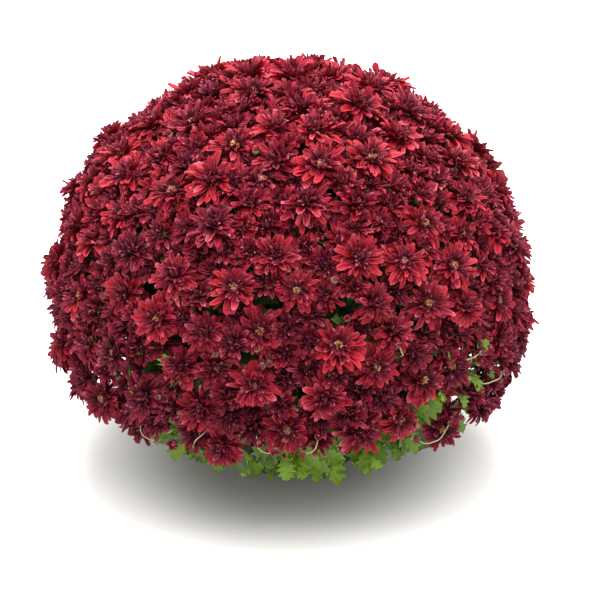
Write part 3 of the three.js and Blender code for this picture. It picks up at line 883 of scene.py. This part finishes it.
def leaf_material():
    n = Nodes("leaf", 0.55, 0.25)
    along, across, under, tone, lot = map(n.attribute, ("along", "across", "under", "tone", "lot"))
    edge = n.math("ABSOLUTE", across)
    # Tone 0 is a near-black green, painted shade for the leaves far inside the cushion; higher tones
    # reach the leaf's own bright green
    green_with_painted_shade = n.mix(tone, (0.006, 0.017, 0.012), (0.21, 0.36, 0.02))
    mottle_at = n.vector(n.times(across, 2.0), n.times(along, 4.0), n.times(lot, 30.0))
    mottle = n.noise(2.4, 4.0, at=mottle_at)
    blade = n.mix(n.times(mottle, 0.4), green_with_painted_shade, n.mix(0.5, green_with_painted_shade, (0.05, 0.11, 0.03)))
    slant = n.minus(n.times(along, 9.0), n.times(edge, 1.9))
    wave = n.math("ABSOLUTE", n.math("SINE", n.times(slant, math.pi)))
    side_vein = n.minus(1.0, n.times(wave, 6.0), clamp=True)
    mid_vein = n.minus(1.0, n.times(edge, 11.0), clamp=True)
    vein = n.math("MAXIMUM", n.times(side_vein, 0.55), mid_vein)
    blade = n.mix(n.times(vein, n.scaled(tone, 0.35, 0.15)), blade, (0.27, 0.43, 0.05))
    pale = n.mix(n.scaled(tone, 0.4, 0.2), blade, (0.15, 0.27, 0.035))
    both = n.mix(n.times(n.minus(under, 0.5, clamp=True), 2.0), blade, pale)
    n.bump(n.minus(mottle, n.times(vein, 0.8)), 0.8 * MM, 0.6)
    return n.colour(both)


def stem_material(name, low, high, roughness=0.55):
    n = Nodes(name, roughness, 0.35)
    grain = n.noise(320.0, 4.0)
    n.bump(grain, 0.4 * MM, 0.5)
    return n.colour(n.mix(grain, low, high))


def calyx_material():
    n = Nodes("calyx", 0.55, 0.35)
    scale_line = n.math("ABSOLUTE", n.minus(n.attribute("across"), 0.5))
    grain = n.noise(380.0)
    base = n.mix(grain, (0.1, 0.17, 0.04), (0.24, 0.3, 0.1))
    tip = n.times(n.math("POWER", n.attribute("along"), 3.0), 0.6)
    n.bump(n.plus(grain, scale_line), 0.6 * MM, 0.6)
    return n.colour(n.mix(tip, base, (0.34, 0.22, 0.1)))


def bud_material():
    n = Nodes("bud", 0.5, 0.4)
    along, across = n.attribute("along"), n.attribute("across")
    grain = n.noise(420.0)
    green = n.mix(grain, (0.16, 0.2, 0.05), (0.36, 0.38, 0.14))
    red = n.mix(grain, (0.24, 0.01, 0.03), (0.5, 0.05, 0.08))
    reach = n.plus(along, n.times(across, 0.12))
    opened = n.minus(reach, n.scaled(n.attribute("tone"), 0.5, 0.45))
    n.bump(grain, 0.5 * MM, 0.6)
    return n.colour(n.mix(n.times(opened, 9.0, clamp=True), green, red))


def soil_material():
    n = Nodes("soil", 0.95, 0.15)
    clods = n.noise(160.0, 6.0, 0.7)
    specks = n.math("GREATER_THAN", n.noise(420.0, 1.0), 0.7)
    base = n.ramp(clods, [
        (0.3, (0.009, 0.006, 0.004)), (0.6, (0.045, 0.028, 0.017)), (0.8, (0.1, 0.065, 0.04)),
    ])
    n.bump(clods, 3 * MM, 1.0)
    return n.colour(n.mix(n.times(specks, 0.5), base, (0.35, 0.32, 0.27)))


def bark_material():
    n = Nodes("bark", 0.85, 0.2)
    ridges = n.noise(240.0, 6.0, 0.7)
    n.bump(ridges, 1.5 * MM, 1.0)
    return n.colour(n.ramp(ridges, [(0.3, (0.04, 0.027, 0.016)), (0.7, (0.19, 0.14, 0.085))]))


# How far up the pot dust has splashed
DUST_HEIGHT = 45 * MM


def pot_material():
    n = Nodes("pot_plastic", 0.42, 0.5)
    haze = n.noise(14.0, 4.0)
    grain = n.noise(1500.0, 2.0)
    plain = n.mix(haze, (0.018, 0.018, 0.019), (0.034, 0.033, 0.033))
    spots = n.noise(120.0, 5.0, 0.7)
    dusty = n.minus(1.0, n.times(n.height(), 1 / DUST_HEIGHT), clamp=True)
    dust = n.times(n.minus(spots, 0.42, clamp=True), n.times(dusty, 2.2))
    n.bump(n.plus(grain, n.times(dust, 3.0)), 0.15 * MM, 0.4)
    return n.colour(n.mix(dust, plain, (0.13, 0.1, 0.075)))


materials = {
    "bloom": petal_material(),
    "bloom_centre": centre_material(),
    "leaf": leaf_material(),
    "green_stem": stem_material("green_stem", (0.09, 0.15, 0.035), (0.22, 0.28, 0.1)),
    "pale_stem": stem_material("pale_stem", (0.2, 0.26, 0.09), (0.4, 0.36, 0.2)),
    "main_stem": stem_material("main_stem", (0.07, 0.09, 0.03), (0.2, 0.2, 0.09), 0.65),
    "calyx": calyx_material(),
    "bud": bud_material(),
}


# Flower sprays. Most leaves end inside this radius of the cushion
LEAF_ROOM_RADIUS = 226 * MM
SHORTEST_LEAF = 18 * MM
SHORTEST_LIMIT = 20 * MM
LEAF_WIDTH = (0.55, 0.72)


def any_across(direction):
    """A random direction across a given one."""
    return unit(np.cross(direction, rng.normal(size=3)))


def leaf_on(path, place, reach, tone, length):
    """A leaf that leaves a stem's path at a place and points out of the cushion."""
    at = path[int(place * (len(path) - 1))]
    outward = unit(at - CUSHION_CENTRE)
    direction = unit(outward * rng.uniform(0.1, 1.1) + any_across(outward))
    room = reach - np.linalg.norm(at - CUSHION_CENTRE)
    limit = room / max(direction @ outward, 0.3)
    length = float(np.clip(length, SHORTEST_LEAF, max(limit, SHORTEST_LIMIT)))
    facing = outward + 0.4 * any_across(outward) + 0.3 * UP
    width = length * rng.uniform(*LEAF_WIDTH)
    return (at, direction, facing, length, width, rng.uniform(-0.2, 0.9), tone)


def leaves_on(path, count, places, reach, tones, lengths):
    """Some leaves on a path, at random places between two shares of it."""
    leaves = []
    for place in rng.uniform(*places, count):
        tone, length = rng.uniform(*tones), rng.uniform(*lengths) * MM
        leaves.append(leaf_on(path, place, reach, tone, length))
    return leaves


# Radii of stems, lengths of leaves and how far buds stand past the flowers' sphere are in mm here
STALK_STEPS = 7
STALK_RADII = (2.4, 2.0)
STALK_ARCH = 4 * MM
KNOT_RADII = (2.0, 3.2, 2.2)
KNOT_REACH = 5 * MM
# How many leaves, their places along the stem, the radius that they end at, their tones and lengths. The
# low tones are painted shade, as these leaves sit far inside the cushion
STALK_LEAVES = (8, (0.3, 1), 215 * MM, (0, 0.2), (48, 68))
HUB_LEAVES = 10
HUB_LEAF_LENGTH = (50, 66)
HUB_LEAF_WIDTH = 0.68
PEDICEL_STEPS = 6
PEDICEL_RADII = (1.5, 1.25, 1.15, 1.1, 1.25, 1.6)
PEDICEL_BEND = 34 * MM
# Their places along the stem, the radius that they end at, their tones and lengths. The low tones are
# painted shade far inside the cushion
PEDICEL_LEAVES = ((0.15, 0.8), LEAF_ROOM_RADIUS, (0.0, 0.22), (36, 58))
CALYX_DEPTH = 9.5 * MM
BUD_STEM_RADII = (1.3, 0.8)
BUD_STEM_BEND = 30 * MM
BUD_PAST_SHELL = (-9, 3)
BUD_SIZE = (0.8, 1.25)
BUD_TILT = 0.2
BUD_LEAF_PLACE = 0.8
BUD_LEAF_LENGTH = 30
# Low tones: painted shade on the leaves below the buds
BUD_LEAF_TONE = (0.05, 0.35)
SEEN_LEAVES_AT_EACH = 2
SEEN_LEAF_SPREAD = 0.06
SEEN_LEAF_WIDTH = (0.62, 0.8)
SEEN_LEAF_STALK_STEPS = 5
SEEN_LEAF_STALK_RADII = (1.3, 0.9)
# Leaves at a photo's pixel: places, radius that they start at, lengths in millimetres, tones
SEEN_LEAVES = (
    (LEAF_GAPS_PX, 212 * MM, (30, 42), (0.2, 0.8)),
    (LEAVES_SEEN_PX, 198 * MM, (34, 48), (0.2, 0.8)),
    (HANGING_LEAVES_PX, 206 * MM, (24, 34), (0.1, 0.75)),
    (FRONT_LEAVES_PX, 228 * MM, (17, 27), (0.25, 0.85)),
)
SEEN_STEM_RADIUS = 246 * MM
SEEN_STEM_DIP = 16 * MM
SEEN_STEM_STEPS = 16
SEEN_STEM_RADII = (0.85, 0.42)
SEEN_STEM_BUD = 0.85 * FULL_SIZE


def hub_leaves(hub):
    """Leaves that lie around a spray's hub, across the way out, at the darkest tone: painted shade far
    inside the cushion.
    """
    outward = unit(hub - CUSHION_CENTRE)
    first = any_across(outward)
    other = np.cross(outward, first)
    leaves = []
    for k in range(HUB_LEAVES):
        turn = 2 * math.pi * (k + rng.uniform(-0.3, 0.3)) / HUB_LEAVES
        way = first * math.cos(turn) + other * math.sin(turn) + rng.uniform(-0.15, 0.35) * outward
        length = rng.uniform(*HUB_LEAF_LENGTH) * MM
        width = HUB_LEAF_WIDTH * length
        # tone 0: near-black painted shade
        leaves.append((hub, way, outward + 0.2 * any_across(outward), length, width, 0.2, 0.0))
    return leaves


def seen_leaves(number, hub, greens):
    """The leaves seen between the flowers of a spray, each on a thin stalk from the hub."""
    leaves = []
    for pixels, radius, sizes, tones in SEEN_LEAVES:
        for px in pixels:
            aim = direction_at_pixel(px, BLOOM_SHELL_RADIUS)
            if spray_of(aim) != number:
                continue
            for _ in range(SEEN_LEAVES_AT_EACH):
                base = CUSHION_CENTRE + radius * unit(aim + SEEN_LEAF_SPREAD * rng.normal(size=3))
                tip_way = unit(aim * 0.9 + 0.7 * any_across(aim))
                length = rng.uniform(*sizes) * MM
                width = length * rng.uniform(*SEEN_LEAF_WIDTH)
                curl, tone = rng.uniform(0.2, 0.8), rng.uniform(*tones)
                leaves.append((base, tip_way, aim + 0.4 * UP, length, width, curl, tone))
                stalk = bezier(hub, (hub + base) / 2, base, SEEN_LEAF_STALK_STEPS)
                tapered(greens, stalk, SEEN_LEAF_STALK_RADII, 5, "green_stem")
    return leaves


def bud_lofts(petals, greens, buds):
    profile_lofts(greens, buds, BUD_CUP_HEIGHTS, BUD_CUP_RADII, 8, "calyx")
    profile_lofts(greens, buds, BUD_HEIGHTS, BUD_RADII, 6, "bud")
    add_petals(petals, bud_petals(buds), 2, 3)


def seen_stems(number, hub, petals, greens):
    """Thin pale stems that curve out over the flowers, each from the hub to a bud of its own."""
    for pixels in STEMS_SEEN_PX:
        aims = [direction_at_pixel(px, SEEN_STEM_RADIUS) for px in pixels]
        if spray_of(aims[0]) != number:
            continue
        points = [hub] + [CUSHION_CENTRE + SEEN_STEM_RADIUS * aim for aim in aims]
        points[1] = points[1] - SEEN_STEM_DIP * aims[0]
        course = smooth_course(points, SEEN_STEM_STEPS)
        tapered(greens, course, SEEN_STEM_RADII, 6, "pale_stem")
        bud = Bloom(aims[-1], SEEN_STEM_RADIUS, np.zeros(3), SEEN_STEM_BUD, 0.3, "bud")
        bud.centre = course[-1] + ATTACH_DEPTH * bud.axis
        bud_lofts(petals, greens, [bud])


def add_buds(petals, greens, hub, directions):
    """Buds on thin stems, and the leaf below each."""
    buds, paths, leaves = [], [], []
    for direction in directions:
        radius = BLOOM_SHELL_RADIUS + rng.uniform(*BUD_PAST_SHELL) * MM
        size = FULL_SIZE * rng.uniform(*BUD_SIZE)
        tilt = BUD_TILT * rng.uniform(-1, 1, 3)
        bud = Bloom(direction, radius, tilt, size, rng.uniform(0, 1) ** 2, "bud")
        neck = bud.below(ATTACH_DEPTH)
        buds.append(bud)
        path = bezier(hub, neck - BUD_STEM_BEND * bud.axis, neck, PEDICEL_STEPS)
        paths.append(path)
        tone = rng.uniform(*BUD_LEAF_TONE)
        leaves.append(leaf_on(path, BUD_LEAF_PLACE, LEAF_ROOM_RADIUS, tone, BUD_LEAF_LENGTH * MM))
    if buds:
        radii = np.tile(np.linspace(*BUD_STEM_RADII, PEDICEL_STEPS) * MM, (len(paths), 1))
        tubes(greens, paths, radii, 5, "green_stem")
        bud_lofts(petals, greens, buds)
    return leaves


def spray_pieces(number, blooms, buds):
    petals, greens = Growth(), Growth()
    hub, end = hubs[number], stem_ends[spray_stem[number]]
    for (rings, sides), rows in petal_rows(blooms).items():
        add_petals(petals, rows, rings, sides)
    ripe = [b for b in blooms if b.ripe]
    young = [b for b in blooms if not b.ripe]
    profile_lofts(petals, ripe, DOME_HEIGHTS, RIPE_DOME_RADII, 8, "bloom_centre")
    profile_lofts(petals, young, DOME_HEIGHTS, DOME_RADII, 6, "bloom_centre")
    profile_lofts(greens, blooms, CALYX_HEIGHTS, CALYX_RADII, 8, "calyx")
    outward = unit(hub - end)
    stalk_middle = (end + hub) / 2 + STALK_ARCH * UP
    stalk = bezier(end, stalk_middle, hub + STALK_ARCH * outward, STALK_STEPS)
    tapered(greens, stalk, STALK_RADII, 8, "green_stem")
    knot = np.array([hub - KNOT_REACH * outward, hub, hub + KNOT_REACH * outward])
    tubes(greens, [knot], [np.array(KNOT_RADII) * MM], 8, "green_stem")
    leaves, pedicels = hub_leaves(hub), []
    for bloom in blooms:
        neck = bloom.below(ATTACH_DEPTH + CALYX_DEPTH)
        path = bezier(hub, neck - PEDICEL_BEND * bloom.axis, neck, PEDICEL_STEPS)
        pedicels.append(path)
        leaves += leaves_on(path, 2 if bloom.kind == "full" else 1, *PEDICEL_LEAVES)
    if pedicels:
        radii = np.tile(np.array(PEDICEL_RADII) * MM, (len(pedicels), 1))
        tubes(greens, pedicels, radii, 5, "green_stem")
    leaves += add_buds(petals, greens, hub, buds)
    seen_stems(number, hub, petals, greens)
    leaves += leaves_on(stalk, *STALK_LEAVES)
    add_leaves(greens, leaves, "plain", "leaf")
    add_leaves(greens, seen_leaves(number, hub, greens), "fine", "leaf")
    node = f"flower_spray_{number + 1:02d}"
    for growth, word, slot in ((petals, "blooms", "bloom"), (greens, "greenery", "leaf")):
        piece = growth.make(f"spray_{number + 1:02d}_{word}", materials)
        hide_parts(node)


def spray_of(direction):
    return int(np.argmax(spray_directions @ direction))


for k in range(SPRAYS):
    own_blooms = [b for b in all_blooms if spray_of(b.direction) == k]
    own_buds = [d for d in all_buds if spray_of(d) == k]
    spray_pieces(k, own_blooms, own_buds)


# Main stems: their course as in the construction, and their thickness by places along it
MAIN_STEM_SINK = 3 * MM
MAIN_STEM_STEPS = 16
MAIN_STEM_TAPER = ([0, 0.12, 0.85, 0.95, 1], [1.35, 1.0, 0.85, 1.15, 0.9])

for k, end in enumerate(stem_ends):
    outward = unit(np.array([end[0], end[1], 0]))
    foot = MAIN_STEM_RING * outward + (CROWN_TOP - MAIN_STEM_SINK) * UP
    reach = end - foot
    shoulder = foot + SHOULDER_OUT_SHARE * (reach @ outward) * outward
    shoulder[2] = foot[2] + SHOULDER_UP_SHARE * reach[2]
    course = smooth_course([foot, shoulder, end], MAIN_STEM_STEPS)
    thick = np.interp(np.linspace(0, 1, MAIN_STEM_STEPS), *MAIN_STEM_TAPER) * MAIN_STEM_RADIUS
    stem = Growth()
    tubes(stem, [course], [thick], 12, "main_stem")
    piece = stem.make(f"stem_{k + 1:02d}", materials)
    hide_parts(f"main_stem_{k + 1:02d}")


# Leafy shoots under the flowers
SHOOT_COURSE = [
    # distance from the pot's axis, height, in mm
    (92, 121), (93, 127), (99, 133), (112, 135), (126, 126), (138, 104), (148, 80), (152, 66),
]
SHOOT_STEPS = 24
SHOOT_RADII = (2.0, 1.3)
TWIG_START = 13
TWIG_TURNS = (-14, 14)
TWIG_RADII = (1.4, 0.9)
# How many leaves, where they start along the stem, and their lengths in mm
SHOOT_LEAVES = (24, 0.42, (24, 41))
TWIG_LEAVES = (16, 0.25, (22, 37))
# Degrees that leaves stand out to the side, their widths as shares of their length, and how they droop:
# at the first leaf, at this share of the stem, and at its end
SIDE_LEAF_TURN = (2, 68)
SIDE_LEAF_WIDTH = (0.65, 0.85)
DROOP_FROM = 0.75
DROOPS = (0.0, 0.5, 1.4)


def turned(vector, degrees):
    """A vector turned about the pot's axis."""
    return np.array(Matrix.Rotation(math.radians(degrees), 3, "Z") @ Vector(vector))


def way_out(number, count):
    """The direction out from the pot's axis to one of some places around it."""
    return turned((1.0, 0.0, 0.0), 360 * (number + 0.5) / count)


def leaves_along(course, outward, count, first, lengths):
    """Leaves to both sides of a shoot, more drooping towards its end."""
    leaves = []
    steps = len(course) - 1
    for i in range(count):
        place = first + (1 - first) * (i + 0.5) / count
        at = course[int(place * steps)]
        way = turned(outward, (1 if i % 2 else -1) * rng.uniform(*SIDE_LEAF_TURN))
        fall = np.interp(place, [first, DROOP_FROM, 1], DROOPS) + rng.normal(0, 0.16)
        length = rng.uniform(*lengths) * MM
        facing = UP + 0.6 * way + 0.25 * rng.normal(size=3)
        width = length * rng.uniform(*SIDE_LEAF_WIDTH)
        curl, tone = rng.uniform(0.1, 0.9), rng.uniform(0.3, 1.15)
        leaves.append((at, way - fall * UP, facing, length, width, curl, tone))
    return leaves


def shoot_piece(number):
    outward = way_out(number, LEAFY_SHOOTS)
    course = smooth_course([r * MM * outward + z * MM * UP for r, z in SHOOT_COURSE], SHOOT_STEPS)
    shoot = Growth()
    tapered(shoot, course, SHOOT_RADII, 8, "green_stem")
    leaves = leaves_along(course, outward, *SHOOT_LEAVES)
    for degrees in TWIG_TURNS:
        away = np.array([turned(point, degrees) for point in course[TWIG_START:]])
        share = np.linspace(0, 1, len(away))[:, None] ** 0.7
        twig = (1 - share) * course[TWIG_START:] + share * away
        tapered(shoot, twig, TWIG_RADII, 6, "green_stem")
        leaves += leaves_along(twig, turned(outward, degrees), *TWIG_LEAVES)
    add_leaves(shoot, leaves, "fine", "leaf")
    piece = shoot.make(f"shoot_{number + 1:02d}", materials)
    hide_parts(f"leafy_shoot_{number + 1:02d}")


for k in range(LEAFY_SHOOTS):
    shoot_piece(k)

# Pot: a thin tapered pan, turned about its axis, with a rounded lip and drain holes
POT_HEIGHT = 130 * MM
POT_BASE_RADIUS = 78 * MM
POT_RIM_RADIUS = 109 * MM
POT_LIP_WIDTH = 3 * MM
POT_LIP_HEIGHT = 12 * MM
POT_WALL = 2.2 * MM
POT_ROUNDING = 1 * MM
CORNER_STEPS = 4
POT_SIDES = 96
POT_WALL_HEIGHTS = (3 * MM, 15 * MM, 40 * MM, 70 * MM, 100 * MM)
DRAIN_HOLES = 8
DRAIN_RADIUS = 5 * MM
DRAIN_HEIGHT = 9 * MM
DRAIN_SIDES = 20


def pot_radius_at(z):
    return POT_BASE_RADIUS + (POT_RIM_RADIUS - POT_BASE_RADIUS) * z / POT_HEIGHT


def rounded(corner, before, after):
    """Points of a small curve that takes the place of a profile's corner."""
    corner, before, after = (np.array(p, float) for p in (corner, before, after))
    start = corner + POT_ROUNDING * unit(before - corner)
    end = corner + POT_ROUNDING * unit(after - corner)
    return [tuple(p) for p in bezier(start, corner, end, CORNER_STEPS)]


def pot_profile():
    lip_bottom = POT_HEIGHT - POT_LIP_HEIGHT
    lip_radius = POT_RIM_RADIUS + POT_LIP_WIDTH
    corners = [
        (0, 0), (POT_BASE_RADIUS, 0), (pot_radius_at(lip_bottom), lip_bottom),
        (pot_radius_at(lip_bottom) + POT_LIP_WIDTH, lip_bottom), (lip_radius, POT_HEIGHT),
        (POT_RIM_RADIUS - POT_WALL, POT_HEIGHT), (pot_radius_at(POT_WALL) - POT_WALL, POT_WALL),
        (0, POT_WALL),
    ]
    points = []
    for before, corner, after in zip(corners, corners[1:], corners[2:]):
        points += rounded(corner, before, after)
    foot, wall = points[:CORNER_STEPS], points[CORNER_STEPS:]
    outer = [(pot_radius_at(z), z) for z in POT_WALL_HEIGHTS]
    inner = [(pot_radius_at(z) - POT_WALL, z) for z in reversed(POT_WALL_HEIGHTS)]
    lip, base = wall[:-CORNER_STEPS], wall[-CORNER_STEPS:]
    return [corners[0]] + foot + outer + lip + inner + base + [corners[-1]]


def pot_piece():
    profile = np.array(pot_profile())
    circle = circles(np.array([1.0, 0.0, 0.0]), np.array([0.0, 1.0, 0.0]), POT_SIDES)
    rings = profile[1:-1, 0, None, None] * circle + profile[1:-1, 1, None, None] * UP
    pot = Growth()
    pot.add(profile[:1, 1:] * UP, rings[None], profile[-1:, 1:] * UP, "pot_plastic", {})
    piece = pot.make("pot_pan", {"pot_plastic": pot_material()})
    holes = Growth()
    across = np.array([way_out(k, DRAIN_HOLES) for k in range(DRAIN_HOLES)])
    spots = pot_radius_at(DRAIN_HEIGHT) * across + DRAIN_HEIGHT * UP
    reach = 3 * POT_WALL * across
    paths = np.stack([spots - reach, spots, spots + reach], 1)
    tubes(holes, paths, np.full((DRAIN_HOLES, 3), DRAIN_RADIUS), DRAIN_SIDES, "cut")
    cutter = holes.make("drain_cutter", {"cut": piece.data.materials[0]})
    cut = piece.modifiers.new("drain_holes", "BOOLEAN")
    cut.object = cutter
    cut.operation = "DIFFERENCE"
    bpy.context.view_layer.objects.active = piece
    bpy.ops.object.modifier_apply(modifier=cut.name)
    bpy.data.objects.remove(cutter)
    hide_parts("pot")


pot_piece()

# Soil and crown keep their solids, with their own materials
for node, make in (("potting_soil", soil_material), ("root_crown", bark_material)):
    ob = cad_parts[node]
    ob.data.materials.clear()
    ob.data.materials.append(make())

# Floor, light and camera
FLOOR_HALF = 6.0
FLOOR_COLOUR = (0.86, 0.835, 0.82, 1)
WORLD_STRENGTH = 0.7
SENSOR_WIDTH = 36
SOFTBOXES = (
    # name, place, target, width and height in metres, power in watts
    ("top_softbox", (0.1, -0.55, 2.2), (0.1, -0.55, 0), (5.2, 2.0), 152),
    ("front_softbox", (0.4, -2.2, 2.4), (0, 0, 0.2), (1.2, 1.2), 8),
    ("back_softbox", (0.0, 1.2, 2.5), (0, 0.2, 0.2), (2.0, 1.4), 130),
)

floor_mesh = bpy.data.meshes.new("floor")
floor_corners = [(x * FLOOR_HALF, y * FLOOR_HALF, 0) for x, y in ((-1, -1), (1, -1), (1, 1), (-1, 1))]
floor_mesh.from_pydata(floor_corners, [], [(0, 1, 2, 3)])
floor = bpy.data.objects.new("floor", floor_mesh)
bpy.context.scene.collection.objects.link(floor)
floor_look = Nodes("floor", 0.9, 0.1)
floor_look.shader.inputs["Base Color"].default_value = FLOOR_COLOUR
floor_mesh.materials.append(floor_look.material)

world = bpy.data.worlds.new("studio")
world.use_nodes = True
background = world.node_tree.nodes["Background"]
background.inputs["Color"].default_value = (1, 1, 1, 1)
background.inputs["Strength"].default_value = WORLD_STRENGTH
bpy.context.scene.world = world


def aimed(name, data, place, sight):
    """An object at a place that looks along a line of sight."""
    ob = bpy.data.objects.new(name, data)
    ob.location = place
    ob.rotation_euler = sight.to_track_quat("-Z", "Y").to_euler()
    bpy.context.scene.collection.objects.link(ob)
    return ob


for name, place, target, size, power in SOFTBOXES:
    light = bpy.data.lights.new(name, "AREA")
    light.shape = "RECTANGLE"
    light.size, light.size_y = size
    light.energy = power
    aimed(name, light, place, Vector(target) - Vector(place))

camera_data = bpy.data.cameras.new("camera")
camera_data.sensor_width = SENSOR_WIDTH
camera_data.lens = FOCAL_PX / IMAGE_SIZE * SENSOR_WIDTH
camera_data.shift_x = (IMAGE_SIZE / 2 - CUSHION_CENTRE_PX[0]) / IMAGE_SIZE
toward = Vector((0, -math.cos(VIEW_ELEVATION), math.sin(VIEW_ELEVATION)))
camera = aimed("camera", camera_data, Vector(CUSHION_CENTRE) + VIEW_DISTANCE * toward, -toward)
bpy.context.scene.camera = camera
bpy.context.scene.view_settings.view_transform = "Standard"
